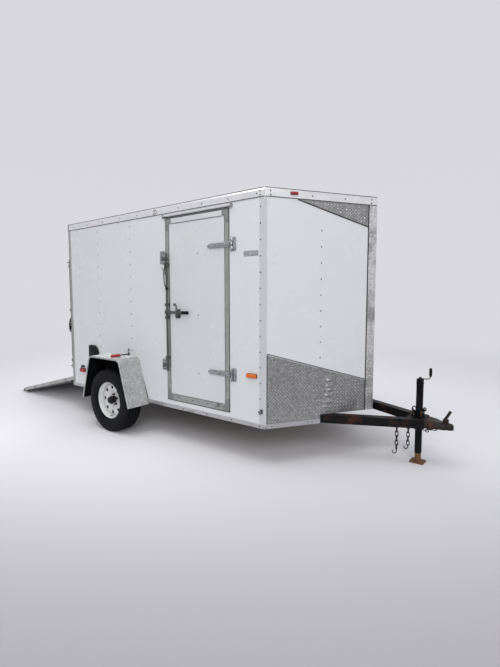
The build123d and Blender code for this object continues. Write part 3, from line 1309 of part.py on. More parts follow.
# Door lock: a long rod with guides and cams on the door, and keepers on the wall behind it
ROD_X = DOOR_BACK + DOOR_FRAME_WIDTH / 2
ROD_Y = HALF + ROD_OUT
ROD_LOW = DOOR_LOW + ROD_FROM_SILL
ROD_HIGH = DOOR_HIGH - ROD_FROM_HEAD
CAM_HEIGHTS = (ROD_LOW + 60.0, ROD_HIGH - 55.0)
GUIDE_HEIGHTS = (ROD_LOW + 125.0, HANDLE_HEIGHT - 51.0, HANDLE_HEIGHT + 79.0, ROD_HIGH - 130.0)
GUIDE_SIZE = (36.0, 30.0)
CAM_SHEET = 10.0
CAM_BACK = 62.0
KEEPER_GAP = 6.0
EAR_SHEET = 6.0
KEEPER_EAR = (20.0, 34.0)
with BuildPart() as door_lock:
    with BuildSketch(Plane.XY.offset(ROD_LOW)):
        with Locations((ROD_X, -ROD_Y)):
            RegularPolygon(ROD_RADIUS, 8)
    extrude(amount=ROD_HIGH - ROD_LOW)
    for height in GUIDE_HEIGHTS:
        with BuildSketch(Plane.XY.offset(height)):
            with Locations((ROD_X, -STRAP_FACE)):
                Rectangle(GUIDE_SIZE[0], ROD_OUT + ROD_RADIUS + 2, align=(Align.CENTER, Align.MAX))
        extrude(amount=GUIDE_SIZE[1])
    for height in CAM_HEIGHTS:
        with BuildSketch(Plane.XY.offset(height - CAM_SHEET / 2)):
            with Locations((ROD_X, -ROD_Y)):
                Rectangle(CAM_BACK, 2 * ROD_RADIUS, align=(Align.MAX, Align.CENTER))
                RegularPolygon(ROD_RADIUS + 6, 8)
        extrude(amount=CAM_SHEET)
door_lock.part.label = "door_lock"
export_step(door_lock.part, "parts/door_lock.step")

# Handle with a grip, the hasp it drops into, and the hold-back eye near the door's foot
HANDLE_REACH = 312.0
GRIP_LENGTH = 92.0
HANDLE_DEPTH = 24.0
HASP_X = DOOR_BACK + 238.0
HASP = (36.0, 180.0, 4.0)
HOLD_X = DOOR_FRONT - 135.0
HOLD_Z = 456.0
with BuildPart() as door_latch:
    with BuildSketch(Plane.YZ.offset(ROD_X + ROD_RADIUS + BEARING_GAP)):
        with Locations((-ROD_Y, HANDLE_HEIGHT)):
            Rectangle(10, HANDLE_DEPTH)
    extrude(amount=HANDLE_REACH - GRIP_LENGTH - ROD_RADIUS)
    with BuildSketch(Plane.YZ.offset(ROD_X + HANDLE_REACH - GRIP_LENGTH)):
        with Locations((-ROD_Y, HANDLE_HEIGHT)):
            RectangleRounded(24, 30, 10)
    extrude(amount=GRIP_LENGTH)
    with BuildSketch(Plane.XZ.offset(HALF)):
        with Locations((HASP_X, HANDLE_HEIGHT + 10)):
            RectangleRounded(HASP[0], HASP[1], 10)
    extrude(amount=HASP[2])
    with BuildSketch(Plane.YZ.offset(HASP_X - 5)):
        with BuildLine():
            Polyline(
                (-HALF - HASP[2], HANDLE_HEIGHT - 40),
                (-HALF - 42, HANDLE_HEIGHT - 40),
                (-HALF - 42, HANDLE_HEIGHT + 4),
                (-HALF - 34, HANDLE_HEIGHT + 4),
                (-HALF - 34, HANDLE_HEIGHT - HANDLE_DEPTH / 2 - 2),
                (-HALF - HASP[2], HANDLE_HEIGHT - HANDLE_DEPTH / 2 - 2),
                close=True,
            )
        make_face()
    extrude(amount=10)
    with BuildSketch(Plane.XZ.offset(STRAP_FACE)):
        with Locations((HOLD_X, HOLD_Z)):
            RectangleRounded(34, 44, 8)
    extrude(amount=6)
    with BuildSketch(Plane.YZ.offset(HOLD_X - 4)):
        with Locations((-STRAP_FACE - 6, HOLD_Z)):
            Rectangle(26, 16, align=(Align.MAX, Align.CENTER))
    extrude(amount=8)
door_latch.part.label = "door_latch"
export_step(door_latch.part, "parts/door_latch.step")

# Keepers on the wall behind the door's edge, open outwards, and the hold-back catch
KEEPER_X = DOOR_BACK - JAMB_REACH - 8.0
KEEPER_BASE = (34.0, 112.0, 4.0)
CATCH_SETBACK = 30.0
CATCH_Z = 482.0
CATCH_PLATE = (30.0, 40.0)
CATCH_CORNER = 6.0
CATCH_EYE = (10.0, 30.0, 12.0)
with BuildPart() as lock_keepers:
    with BuildSketch(Plane.XZ.offset(HALF)):
        with Locations([(KEEPER_X, height) for height in CAM_HEIGHTS]):
            Rectangle(KEEPER_BASE[0], KEEPER_BASE[1], align=(Align.MAX, Align.CENTER))
    extrude(amount=KEEPER_BASE[2])
    with BuildSketch(Plane.XZ.offset(HALF + CORNER_SHEET)):
        with Locations((NOSE_X - CATCH_SETBACK, CATCH_Z)):
            catch_plate = Rectangle(CATCH_PLATE[0], CATCH_PLATE[1])
        chamfer(catch_plate.vertices(), length=CATCH_CORNER)
    extrude(amount=KEEPER_BASE[2])
    for height in CAM_HEIGHTS:
        ear_low = height - CAM_SHEET / 2 - KEEPER_GAP - EAR_SHEET
        with BuildSketch(Plane.XY.offset(ear_low)):
            with Locations((KEEPER_X, -HALF - KEEPER_BASE[2])):
                Rectangle(KEEPER_EAR[0], KEEPER_EAR[1], align=Align.MAX)
        extrude(amount=EAR_SHEET)
        with BuildSketch(Plane.XY.offset(ear_low + EAR_SHEET + CAM_SHEET + 2 * KEEPER_GAP)):
            with Locations((KEEPER_X, -HALF - KEEPER_BASE[2])):
                Rectangle(KEEPER_EAR[0], KEEPER_EAR[1], align=Align.MAX)
        extrude(amount=EAR_SHEET)
    with BuildSketch(Plane.XY.offset(CATCH_Z - CATCH_EYE[2] / 2)):
        with Locations((NOSE_X - CATCH_SETBACK, -HALF - CORNER_SHEET - KEEPER_BASE[2])):
            Rectangle(CATCH_EYE[0], CATCH_EYE[1], align=(Align.CENTER, Align.MAX))
    extrude(amount=CATCH_EYE[2])
lock_keepers.part.label = "lock_keepers"
export_step(lock_keepers.part, "parts/lock_keepers.step")

# Lock bars that stand on the rear posts, with guides, cams turned open and a hanging handle
BAR_Y = HALF - 15.0
BAR_OUT = 24.0
BAR_RADIUS = 9.0
BAR_LOW = 545.0
BAR_HIGH = HEADER_BOTTOM - 152.0
BAR_GUIDES = (BAR_LOW + 95.0, BAR_LOW + 555.0, BAR_LOW + 745.0, BAR_HIGH - 105.0)
BAR_CAMS = (BAR_LOW + 30.0, BAR_HIGH - 40.0)
BAR_CAM_BACK = 44.0
BAR_HANDLE_TOP = BAR_LOW + 665.0
BAR_HANDLE_LOW = BAR_LOW + 478.0
bar_x = REAR_X - BAR_OUT
with BuildPart() as rear_lock_bars:
    with BuildSketch(Plane.XY.offset(BAR_LOW)):
        with Locations((bar_x, -BAR_Y)):
            RegularPolygon(BAR_RADIUS, 8)
    extrude(amount=BAR_HIGH - BAR_LOW)
    for height in BAR_GUIDES:
        with BuildSketch(Plane.XY.offset(height)):
            with Locations((REAR_X, -BAR_Y)):
                Rectangle(BAR_OUT + BAR_RADIUS + 2, 2 * BAR_RADIUS + 8, align=(Align.MAX, Align.CENTER))
        extrude(amount=GUIDE_SIZE[1])
    for height in BAR_CAMS:
        with BuildSketch(Plane.XY.offset(height - CAM_SHEET / 2)):
            with Locations((bar_x, -BAR_Y)):
                Rectangle(BAR_CAM_BACK, 2 * BAR_RADIUS, align=(Align.MAX, Align.CENTER))
                RegularPolygon(BAR_RADIUS + 5, 8)
        extrude(amount=CAM_SHEET)
    with BuildSketch(Plane.XZ.offset(BAR_Y - 6)):
        with BuildLine():
            Polyline(
                (bar_x - BAR_RADIUS, BAR_HANDLE_TOP),
                (bar_x - 44, BAR_HANDLE_TOP - 34),
                (bar_x - 60, (BAR_HANDLE_TOP + BAR_HANDLE_LOW) / 2),
                (bar_x - 46, BAR_HANDLE_LOW),
                (bar_x - 32, BAR_HANDLE_LOW),
                (bar_x - 44, (BAR_HANDLE_TOP + BAR_HANDLE_LOW) / 2 - 6),
                (bar_x - 30, BAR_HANDLE_TOP - 50),
                (bar_x, BAR_HANDLE_TOP - 26),
                close=True,
            )
        make_face()
    extrude(amount=12)
    mirror(about=Plane.XZ)
rear_lock_bars.part.label = "rear_lock_bars"
export_step(rear_lock_bars.part, "parts/rear_lock_bars.step")
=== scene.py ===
"""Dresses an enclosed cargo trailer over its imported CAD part, in metres, +X forward, +Y left, +Z up."""
import math

import bpy
import numpy as np
from mathutils import Matrix, Vector


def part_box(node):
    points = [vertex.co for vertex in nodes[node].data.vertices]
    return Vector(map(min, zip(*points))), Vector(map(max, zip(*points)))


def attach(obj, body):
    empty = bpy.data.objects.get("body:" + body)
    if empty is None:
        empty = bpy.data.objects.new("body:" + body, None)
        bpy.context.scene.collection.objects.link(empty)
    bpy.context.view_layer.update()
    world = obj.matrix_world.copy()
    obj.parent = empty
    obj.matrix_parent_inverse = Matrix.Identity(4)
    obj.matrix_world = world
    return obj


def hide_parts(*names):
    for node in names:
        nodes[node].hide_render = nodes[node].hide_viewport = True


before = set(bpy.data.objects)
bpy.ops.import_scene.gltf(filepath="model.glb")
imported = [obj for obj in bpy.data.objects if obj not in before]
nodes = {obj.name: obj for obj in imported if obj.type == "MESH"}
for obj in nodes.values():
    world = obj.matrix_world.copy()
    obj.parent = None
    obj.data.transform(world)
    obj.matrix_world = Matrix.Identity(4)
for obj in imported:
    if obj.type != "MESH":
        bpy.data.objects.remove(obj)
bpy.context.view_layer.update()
bpy.ops.object.select_all(action="DESELECT")

# Camera: stands to the right and ahead of the trailer, at a person's height. It is turned 37 degrees from
# a square view of the side and tipped a little down. The shift only centres the picture.
camera_data = bpy.data.cameras.new("camera")
camera_data.lens = 22.20
camera_data.sensor_width = 36.0
camera_data.shift_x = -0.0058
camera_data.shift_y = -0.0038
camera_data.clip_end = 200.0
camera = bpy.data.objects.new("camera", camera_data)
camera.location = (3.7014, -3.7538, 1.4728)
camera.rotation_euler = (math.radians(90.0 - 4.722), 0.0, math.radians(36.754))
bpy.context.scene.collection.objects.link(camera)
bpy.context.scene.camera = camera
bpy.context.scene.view_settings.view_transform = "Standard"

# Studio: a plain floor with painted shade that darkens it near the camera, fading into a pale surround. A
# large soft lamp hangs overhead, one stands on the camera's side and a weaker one behind. Only the camera
# and reflections see the surround's glow, and a dim even light fills the shadows.
SURROUND_LOW = (0.70, 0.69, 0.735, 1.0)
SURROUND_HIGH = (0.68, 0.67, 0.72, 1.0)
FLOOR_NEAR_SHADE = (0.34, 0.33, 0.36, 1.0)
FLOOR_MIDDLE = (0.80, 0.79, 0.82, 1.0)
FILL = (0.94, 0.96, 1.0, 1.0)
CAMERA_LOOKS = (-0.598, 0.801, 0.0)


def add_node(tree, kind, sockets=None, **options):
    """Adds a shader node, sets its options, then gives each socket a value or a link from an output."""
    node = tree.nodes.new("ShaderNode" + kind)
    for option, choice in options.items():
        setattr(node, option, choice)
    for socket, value in (sockets or {}).items():
        if isinstance(value, bpy.types.NodeSocket):
            tree.links.new(value, node.inputs[socket])
        else:
            node.inputs[socket].default_value = value
    return node


def ranged(tree, value, low, high, to_low=0.0, to_high=1.0, way="LINEAR"):
    """A value carried from one range to another, and held at its ends."""
    sockets = {"Value": value, "From Min": low, "From Max": high, "To Min": to_low, "To Max": to_high}
    return add_node(tree, "MapRange", sockets, interpolation_type=way).outputs["Result"]


def blended(tree, factor, first, second, way="MIX", kind="RGBA"):
    """Two colours or values blended by a factor."""
    sockets = {"Factor": factor, "A": first, "B": second}
    return add_node(tree, "Mix", sockets, data_type=kind, blend_type=way).outputs["Result"]


def reckoned(tree, operation, *values):
    """The result of one sum on values."""
    return add_node(tree, "Math", dict(enumerate(values)), operation=operation).outputs[0]


bpy.ops.mesh.primitive_plane_add(size=120.0, location=(0, 0, 0))
studio_floor = bpy.context.object
studio_floor.name = "studio_floor"
floor_material = bpy.data.materials.new("studio_floor")
floor_material.use_nodes = True
floor_tree = floor_material.node_tree
floor_place = add_node(floor_tree, "TexCoord").outputs["Object"]
onward_sockets = {0: floor_place, 1: CAMERA_LOOKS}
onward = add_node(floor_tree, "VectorMath", onward_sockets, operation="DOT_PRODUCT").outputs["Value"]
reach = add_node(floor_tree, "VectorMath", {0: floor_place}, operation="LENGTH").outputs["Value"]
floor_shader = floor_tree.nodes["Principled BSDF"]
floor_shader.inputs["Roughness"].default_value = 0.9
floor_shader.inputs["Specular IOR Level"].default_value = 0.1
# Painted shade: the floor's colour darkens towards the camera.
shade_nearness = ranged(floor_tree, onward, -4.4, -0.8, way="SMOOTHSTEP")
floor_color = blended(floor_tree, shade_nearness, FLOOR_NEAR_SHADE, FLOOR_MIDDLE)
floor_tree.links.new(floor_color, floor_shader.inputs["Base Color"])
beyond = ranged(floor_tree, onward, -1.5, 3.0, way="SMOOTHSTEP")
far_off = reckoned(floor_tree, "MULTIPLY", ranged(floor_tree, reach, 2.5, 11.0, way="SMOOTHSTEP"), beyond)
far_off = reckoned(floor_tree, "MAXIMUM", far_off, ranged(floor_tree, reach, 7.0, 13.0, way="SMOOTHSTEP"))
floor_rays = add_node(floor_tree, "LightPath").outputs
floor_seen = reckoned(floor_tree, "MAXIMUM", floor_rays["Is Camera Ray"], floor_rays["Is Glossy Ray"])
floor_glow = add_node(floor_tree, "Emission", {"Color": SURROUND_LOW})
floor_parts = {
    0: reckoned(floor_tree, "MULTIPLY", far_off, floor_seen),
    1: floor_shader.outputs[0],
    2: floor_glow.outputs[0],
}
floor_surface = add_node(floor_tree, "MixShader", floor_parts)
floor_tree.links.new(floor_surface.outputs[0], floor_tree.nodes["Material Output"].inputs["Surface"])
studio_floor.data.materials.append(floor_material)

world = bpy.data.worlds.new("studio")
bpy.context.scene.world = world
world.use_nodes = True
sky = world.node_tree
sky_way = add_node(sky, "TexCoord").outputs["Generated"]
sky_height = add_node(sky, "SeparateXYZ", {0: sky_way}).outputs["Z"]
sky_color = blended(sky, ranged(sky, sky_height, 0.0, 0.75, way="SMOOTHSTEP"), SURROUND_LOW, SURROUND_HIGH)
ambient = sky.nodes["Background"]
ambient.inputs["Color"].default_value = FILL
ambient.inputs["Strength"].default_value = 0.57
surround = add_node(sky, "Background", {"Color": sky_color})
sky_rays = add_node(sky, "LightPath").outputs
mirror_rays = reckoned(sky, "MAXIMUM", sky_rays["Is Glossy Ray"], sky_rays["Is Transmission Ray"])
seen_rays = reckoned(sky, "MAXIMUM", sky_rays["Is Camera Ray"], mirror_rays)
sky_mix = add_node(sky, "MixShader", {0: seen_rays, 1: ambient.outputs[0], 2: surround.outputs[0]})
sky.links.new(sky_mix.outputs[0], sky.nodes["World Output"].inputs["Surface"])

for lamp_name, place, aim, size, watts in (
    ("lamp_top", (0.5, -1.5, 6.5), (0.3, 0.0, 0.0), 6.0, 222.0),
    ("lamp_front_right", (6.5, -6.0, 4.5), (0.8, 0.0, 1.2), 5.0, 275.0),
    ("lamp_left_rear", (-6.0, 6.0, 5.0), (-0.5, 0.0, 1.2), 5.0, 200.0),
):
    lamp_data = bpy.data.lights.new(lamp_name, "AREA")
    lamp_data.shape = "DISK"
    lamp_data.size = size
    lamp_data.energy = watts
    lamp = bpy.data.objects.new(lamp_name, lamp_data)
    lamp.location = place
    lamp.rotation_euler = (Vector(place) - Vector(aim)).to_track_quat("Z", "Y").to_euler()
    bpy.context.scene.collection.objects.link(lamp)

# Chassis: welded steel rails, crossmembers, sill and drop axle under the body, in black paint that the
# road has thinned. Rust comes through in patches, most of all on the springs.
def new_group(name, takes, gives):
    """A shader node group with named inputs, each with its usual value, and named outputs."""
    group = bpy.data.node_groups.new(name, "ShaderNodeTree")
    for label, kind, value in takes:
        taken = group.interface.new_socket(label, in_out="INPUT", socket_type="NodeSocket" + kind)
        taken.default_value = value
    for label, kind in gives:
        group.interface.new_socket(label, in_out="OUTPUT", socket_type="NodeSocket" + kind)
    return group, group.nodes.new("NodeGroupInput").outputs, group.nodes.new("NodeGroupOutput").inputs


def weathering_group():
    """Patches of a second colour on a clean one, finely mottled: wear on most materials and painted
    reflections on the nose plates. Gives colour, roughness, mask and height.
    """
    group, given, put = new_group(
        "weathering_and_sheen",
        (
            ("Clean", "Color", (0.5, 0.5, 0.5, 1.0)),
            ("Stain And Sheen", "Color", (0.2, 0.1, 0.05, 1.0)),
            ("Patch Scale", "Float", 4.0),
            ("Threshold", "Float", 0.5),
            ("Softness", "Float", 0.1),
            ("Clean Roughness", "Float", 0.4),
            ("Stain Roughness", "Float", 0.85),
            ("Fine Scale", "Float", 60.0),
            ("Mottle", "Float", 0.12),
        ),
        (("Color", "Color"), ("Roughness", "Float"), ("Mask", "Float"), ("Height", "Float")),
    )
    place = add_node(group, "TexCoord").outputs["Object"]
    patch_sockets = {"Vector": place, "Scale": given["Patch Scale"], "Detail": 7.0, "Roughness": 0.62}
    patches = add_node(group, "TexNoise", patch_sockets).outputs["Fac"]
    top = reckoned(group, "ADD", given["Threshold"], given["Softness"])
    mask = ranged(group, patches, given["Threshold"], top, way="SMOOTHSTEP")
    fine_sockets = {"Vector": place, "Scale": given["Fine Scale"], "Detail": 4.0}
    fine = add_node(group, "TexNoise", fine_sockets).outputs["Fac"]
    darkest = reckoned(group, "SUBTRACT", 1.0, given["Mottle"])
    shade = ranged(group, fine, 0.3, 0.7, darkest, 1.0)
    colors = blended(group, mask, given["Clean"], given["Stain And Sheen"])
    rough = blended(group, mask, given["Clean Roughness"], given["Stain Roughness"], kind="FLOAT")
    group.links.new(blended(group, 1.0, colors, shade, "MULTIPLY"), put["Color"])
    group.links.new(rough, put["Roughness"])
    group.links.new(mask, put["Mask"])
    group.links.new(reckoned(group, "MULTIPLY_ADD", fine, 0.5, mask), put["Height"])
    return group


weathering_and_sheen = weathering_group()


def weathered_and_sheened(
    name,
    clean,
    stain_and_sheen,
    scale,
    threshold,
    softness,
    roughness,
    metallic=0.0,
    bump=0.0,
    fine=60.0,
    mottle=0.12,
    specular=0.5,
):
    """A material of one finish with a second colour in patches, wear on most materials and painted
    reflections on the nose plates; the patches are never metallic.
    """
    material = bpy.data.materials.new(name)
    material.use_nodes = True
    tree = material.node_tree
    shader = tree.nodes["Principled BSDF"]
    shader.inputs["Specular IOR Level"].default_value = specular
    worn_sockets = {
        "Clean": (*clean, 1.0),
        "Stain And Sheen": (*stain_and_sheen, 1.0),
        "Patch Scale": scale,
        "Threshold": threshold,
        "Softness": softness,
        "Clean Roughness": roughness,
        "Stain Roughness": max(0.8, roughness),
        "Fine Scale": fine,
        "Mottle": mottle,
    }
    worn_and_sheen = add_node(tree, "Group", worn_sockets, node_tree=weathering_and_sheen).outputs
    tree.links.new(worn_and_sheen["Color"], shader.inputs["Base Color"])
    tree.links.new(worn_and_sheen["Roughness"], shader.inputs["Roughness"])
    if metallic:
        tree.links.new(ranged(tree, worn_and_sheen["Mask"], 0.0, 1.0, metallic, 0.0), shader.inputs["Metallic"])
    if bump:
        relief = add_node(tree, "Bump", {"Strength": bump, "Distance": 0.002, "Height": worn_and_sheen["Height"]})
        tree.links.new(relief.outputs["Normal"], shader.inputs["Normal"])
    return material


def dress(node_names, material):
    """Puts a material on CAD nodes that keep their shape."""
    for node_name in node_names:
        nodes[node_name].data.materials.clear()
        nodes[node_name].data.materials.append(material)


chassis_paint = weathered_and_sheened(
    "chassis_paint", (0.0048, 0.0048, 0.0056), (0.045, 0.019, 0.009), 9.0, 0.56, 0.1, 0.5,
    bump=0.4, fine=140.0, mottle=0.4, specular=0.12,
)
dress(("frame_side_rails", "frame_crossmembers", "frame_nose_rails"), chassis_paint)
dress(("rear_sill", "sill_knuckles", "axle"), chassis_paint)
spring_steel = weathered_and_sheened(
    "spring_steel", (0.03, 0.024, 0.021), (0.078, 0.033, 0.015), 14.0, 0.46, 0.14, 0.6,
    bump=0.5, fine=120.0, mottle=0.4, specular=0.2,
)
dress(("leaf_springs", "spring_hangers"), spring_steel)

# U-bolts: round steel bent under the axle beam, that holds each spring down on it, with nuts over a plate.
# They are plated steel with brown rust in patches.
MERGE = 0.00001


def alone(piece):
    """Selects one piece only and makes it the active one."""
    bpy.ops.object.select_all(action="DESELECT")
    piece.select_set(True)
    bpy.context.view_layer.objects.active = piece


def edit_all(piece):
    """Opens a piece in edit mode with all of it selected."""
    alone(piece)
    bpy.ops.object.mode_set(mode="EDIT")
    bpy.ops.mesh.select_all(action="SELECT")


def close_edit(piece):
    """Goes back to object mode and lets the piece go."""
    bpy.ops.object.mode_set(mode="OBJECT")
    piece.select_set(False)


def faced_out(piece, merged=True):
    """Turns a piece's faces outwards, after its doubled points are merged."""
    edit_all(piece)
    if merged:
        bpy.ops.mesh.remove_doubles(threshold=MERGE)
    bpy.ops.mesh.normals_make_consistent(inside=False)
    close_edit(piece)
    return piece


def settle(piece):
    """Applies a piece's modifiers and its place, so that its object sits at the origin."""
    alone(piece)
    for modifier in list(piece.modifiers):
        bpy.ops.object.modifier_apply(modifier=modifier.name)
    bpy.ops.object.transform_apply(location=True, rotation=True, scale=True)
    piece.select_set(False)
    return piece


def hand_over(piece, name, material, body, angle=35.0):
    """Names a finished piece, gives it its material and smooth shading, and lets it ride on its body."""
    piece.name = name
    piece.data.name = name
    piece.data.materials.clear()
    piece.data.materials.append(material)
    alone(piece)
    bpy.ops.object.shade_smooth_by_angle(angle=math.radians(angle))
    piece.select_set(False)
    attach(piece, body)
    return piece


def joined(pieces):
    """Joins pieces into the first of them."""
    alone(pieces[0])
    for piece in pieces:
        piece.select_set(True)
    if len(pieces) > 1:
        bpy.ops.object.join()
    pieces[0].select_set(False)
    return pieces[0]


def from_points(name, points, edges, faces):
    """A new piece from its points, edges and faces."""
    mesh = bpy.data.meshes.new(name)
    mesh.from_pydata(points, edges, faces)
    piece = bpy.data.objects.new(name, mesh)
    bpy.context.scene.collection.objects.link(piece)
    return piece


def copied(pattern, places):
    """Repeats a settled piece at each place, a matrix, as the separate shells of one mesh."""
    points = np.array([(*vertex.co, 1.0) for vertex in pattern.data.vertices])
    faces = [tuple(face.vertices) for face in pattern.data.polygons]
    moved = [points @ np.array(place.transposed()) for place in places]
    shells = []
    for copy in range(len(places)):
        shells += [tuple(index + copy * len(points) for index in face) for face in faces]
    bpy.data.objects.remove(pattern)
    return from_points("copied", [tuple(point[:3]) for point in np.concatenate(moved)], [], shells)


def ease(piece, width, segments=2, sharper=None):
    """Bevels a piece's edges, or only those sharper than an angle."""
    eased = piece.modifiers.new("eased", "BEVEL")
    eased.width = width
    eased.segments = segments
    if sharper is not None:
        eased.limit_method = "ANGLE"
        eased.angle_limit = math.radians(sharper)


def plate(low, high, bevel=0.0, segments=2):
    """A rectangular plate or block between two corners, with its edges eased."""
    bpy.ops.object.select_all(action="DESELECT")
    bpy.ops.mesh.primitive_cube_add(size=1.0, location=[(a + b) / 2 for a, b in zip(low, high)])
    piece = bpy.context.object
    piece.scale = [b - a for a, b in zip(low, high)]
    settle(piece)
    if bevel:
        ease(piece, bevel, segments)
        settle(piece)
    return piece


def round_bar(start, end, radius, sides=16, bevel=0.0, end_radius=None):
    """A round bar from one point to another, with its rims eased; it may taper."""
    bpy.ops.object.select_all(action="DESELECT")
    along = Vector(end) - Vector(start)
    bpy.ops.mesh.primitive_cone_add(
        vertices=sides,
        radius1=radius,
        radius2=radius if end_radius is None else end_radius,
        depth=along.length,
        location=(Vector(start) + Vector(end)) / 2,
        rotation=along.to_track_quat("Z", "Y").to_euler(),
    )
    piece = bpy.context.object
    if bevel:
        ease(piece, bevel, sharper=50.0)
    return settle(piece)


def bent_rod(points, radius, sides=3):
    """A round rod bent along smooth points, made a mesh."""
    curve = bpy.data.curves.new("rod", "CURVE")
    curve.dimensions = "3D"
    curve.bevel_depth = radius
    curve.bevel_resolution = sides
    curve.resolution_u = 6
    curve.use_fill_caps = True
    spline = curve.splines.new("BEZIER")
    spline.bezier_points.add(len(points) - 1)
    for knot, point in zip(spline.bezier_points, points):
        knot.co = point
        knot.handle_left_type = knot.handle_right_type = "AUTO"
    rod = bpy.data.objects.new("rod", curve)
    bpy.context.scene.collection.objects.link(rod)
    alone(rod)
    bpy.ops.object.convert(target="MESH")
    return faced_out(bpy.context.object)


plated_steel = weathered_and_sheened(
    "plated_steel", (0.34, 0.33, 0.31), (0.16, 0.08, 0.04), 30.0, 0.56, 0.1, 0.4,
    metallic=0.9, bump=0.2, fine=200.0,
)
SIDES = (("right", -1), ("left", 1))
SPRING_Y = 0.8720
U_LEGS = 0.027
U_PLATE_TOP = 0.304
axle_low, axle_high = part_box("axle")
axle_x = (axle_low[0] + axle_high[0]) / 2
for side_name, side in SIDES:
    y = side * SPRING_Y
    u_plate_low = (axle_x - 0.062, y - 0.032, U_PLATE_TOP - 0.008)
    u_bolt_pieces = [plate(u_plate_low, (axle_x + 0.062, y + 0.032, U_PLATE_TOP), 0.002)]
    for x in (axle_x - 0.038, axle_x + 0.038):
        half_bend = ((-U_LEGS, 0.318), (-U_LEGS, 0.235), (-0.014, 0.207))
        bend = half_bend + tuple((-across, z) for across, z in reversed(half_bend))
        u_bolt_pieces.append(bent_rod([(x, y + across, z) for across, z in bend], 0.005))
        for across in (-U_LEGS, U_LEGS):
            nut = (x, y + across, U_PLATE_TOP), (x, y + across, U_PLATE_TOP + 0.009)
            u_bolt_pieces.append(round_bar(*nut, 0.009, 6, 0.0008))
    hand_over(joined(u_bolt_pieces), "axle_u_bolts_" + side_name, plated_steel, "root")

# Tongue: two 3 in box tubes welded to a flat plate at the front. Most of the black paint has gone to red
# brown rust, and heavy weld beads run along the plate's edges.
TONGUE_SLOPE = math.tan(math.radians(25.0))
WELD_STEP = 0.0062
tongue_rust = weathered_and_sheened(
    "tongue_rust", (0.0048, 0.0048, 0.0052), (0.06375, 0.024, 0.0135), 5.0, 0.49, 0.12, 0.45,
    bump=0.6, fine=90.0, mottle=0.5, specular=0.15,
)
dress(("tongue_rails",), tongue_rust)
dress(("tongue_plate",), chassis_paint)
plate_low, plate_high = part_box("tongue_plate")
weld_places = []
for side in (-1, 1):
    for step in range(22):
        along = 0.004 + step * WELD_STEP
        y = side * (plate_high[1] - along * TONGUE_SLOPE + 0.001)
        weld_places.append(Matrix.Translation((plate_low[0] + along, y, plate_low[2] + 0.002)))
bpy.ops.mesh.primitive_uv_sphere_add(segments=8, ring_count=6, radius=0.0052)
weld_bead = bpy.context.object
edit_all(weld_bead)
bpy.ops.transform.resize(value=(0.9, 1.0, 0.8))
close_edit(weld_bead)
hand_over(copied(weld_bead, weld_places), "tongue_welds", spring_steel, "root")

# Coupler: pressed steel channel that narrows from the tongue plate to a domed head over the ball, with a
# lip round its foot. It is bare dark steel with rust brown patches all over.
coupler_rust = weathered_and_sheened(
    "coupler_rust", (0.028, 0.022, 0.0192), (0.09, 0.036, 0.021), 16.0, 0.5, 0.14, 0.5,
    metallic=0.3, bump=0.5, fine=110.0, specular=0.2,
)
coupler_low, coupler_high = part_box("coupler")
HEAD_RADIUS = 0.036
HEAD_FOOT = 0.372
head_x = coupler_high[0] - HEAD_RADIUS
foot_z, back_z = coupler_low[2], coupler_high[2]
coupler_rows = (
    # x, half width, top, half width of the flat top
    (coupler_low[0], 0.084, back_z, 0.074),
    (coupler_low[0] + 0.07, 0.068, back_z - 0.004, 0.056),
    (head_x - 0.054, 0.049, back_z - 0.018, 0.036),
    (head_x - 0.020, 0.040, back_z - 0.026, 0.026),
)
coupler_points = []
for x, half, top, flat in coupler_rows:
    side_line = [
        (-half - 0.007, foot_z),
        (-half - 0.007, foot_z + 0.005),
        (-half, foot_z + 0.007),
        (-half, top - 0.014),
        (-half + 0.006, top - 0.004),
        (-flat, top),
    ]
    side_line += [(-y, z) for y, z in reversed(side_line)]
    coupler_points += [(x, y, z) for y, z in side_line]
ring = len(side_line)
coupler_faces = [tuple(range(ring))[::-1], tuple(range(3 * ring, 4 * ring))]
for row in range(len(coupler_rows) - 1):
    for index in range(ring):
        near, following = row * ring + index, row * ring + (index + 1) % ring
        coupler_faces.append((near, following, following + ring, near + ring))
coupler_shell = faced_out(from_points("coupler_shell", coupler_points, [], coupler_faces), merged=False)
head_foot = (head_x, 0, HEAD_FOOT)
bpy.ops.mesh.primitive_uv_sphere_add(segments=32, ring_count=16, radius=HEAD_RADIUS, location=head_foot)
dome = bpy.context.object
edit_all(dome)
bpy.ops.transform.resize(value=(1.0, 1.0, 0.66))
bpy.ops.mesh.bisect(plane_co=head_foot, plane_no=(0, 0, 1), clear_inner=True, use_fill=True)
close_edit(dome)
settle(dome)
skirt = round_bar((head_x, 0, foot_z + 0.004), (head_x, 0, HEAD_FOOT + 0.0005), HEAD_RADIUS, 32)
lip = round_bar((head_x, 0, foot_z), (head_x, 0, foot_z + 0.006), HEAD_RADIUS, 32, 0.001)
ball_socket = round_bar((head_x, 0, foot_z - 0.01), (head_x, 0, foot_z + 0.02), 0.0257, 32)
for part in (skirt, lip):
    opened = part.modifiers.new("socket", "BOOLEAN")
    opened.operation = "DIFFERENCE"
    opened.object = ball_socket
    settle(part)
bpy.data.objects.remove(ball_socket)
coupler_pieces = [coupler_shell, dome, skirt, lip]
coupler_piece = hand_over(
    joined(coupler_pieces), "coupler_pressing", coupler_rust, "root", 30.0
)
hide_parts("coupler")

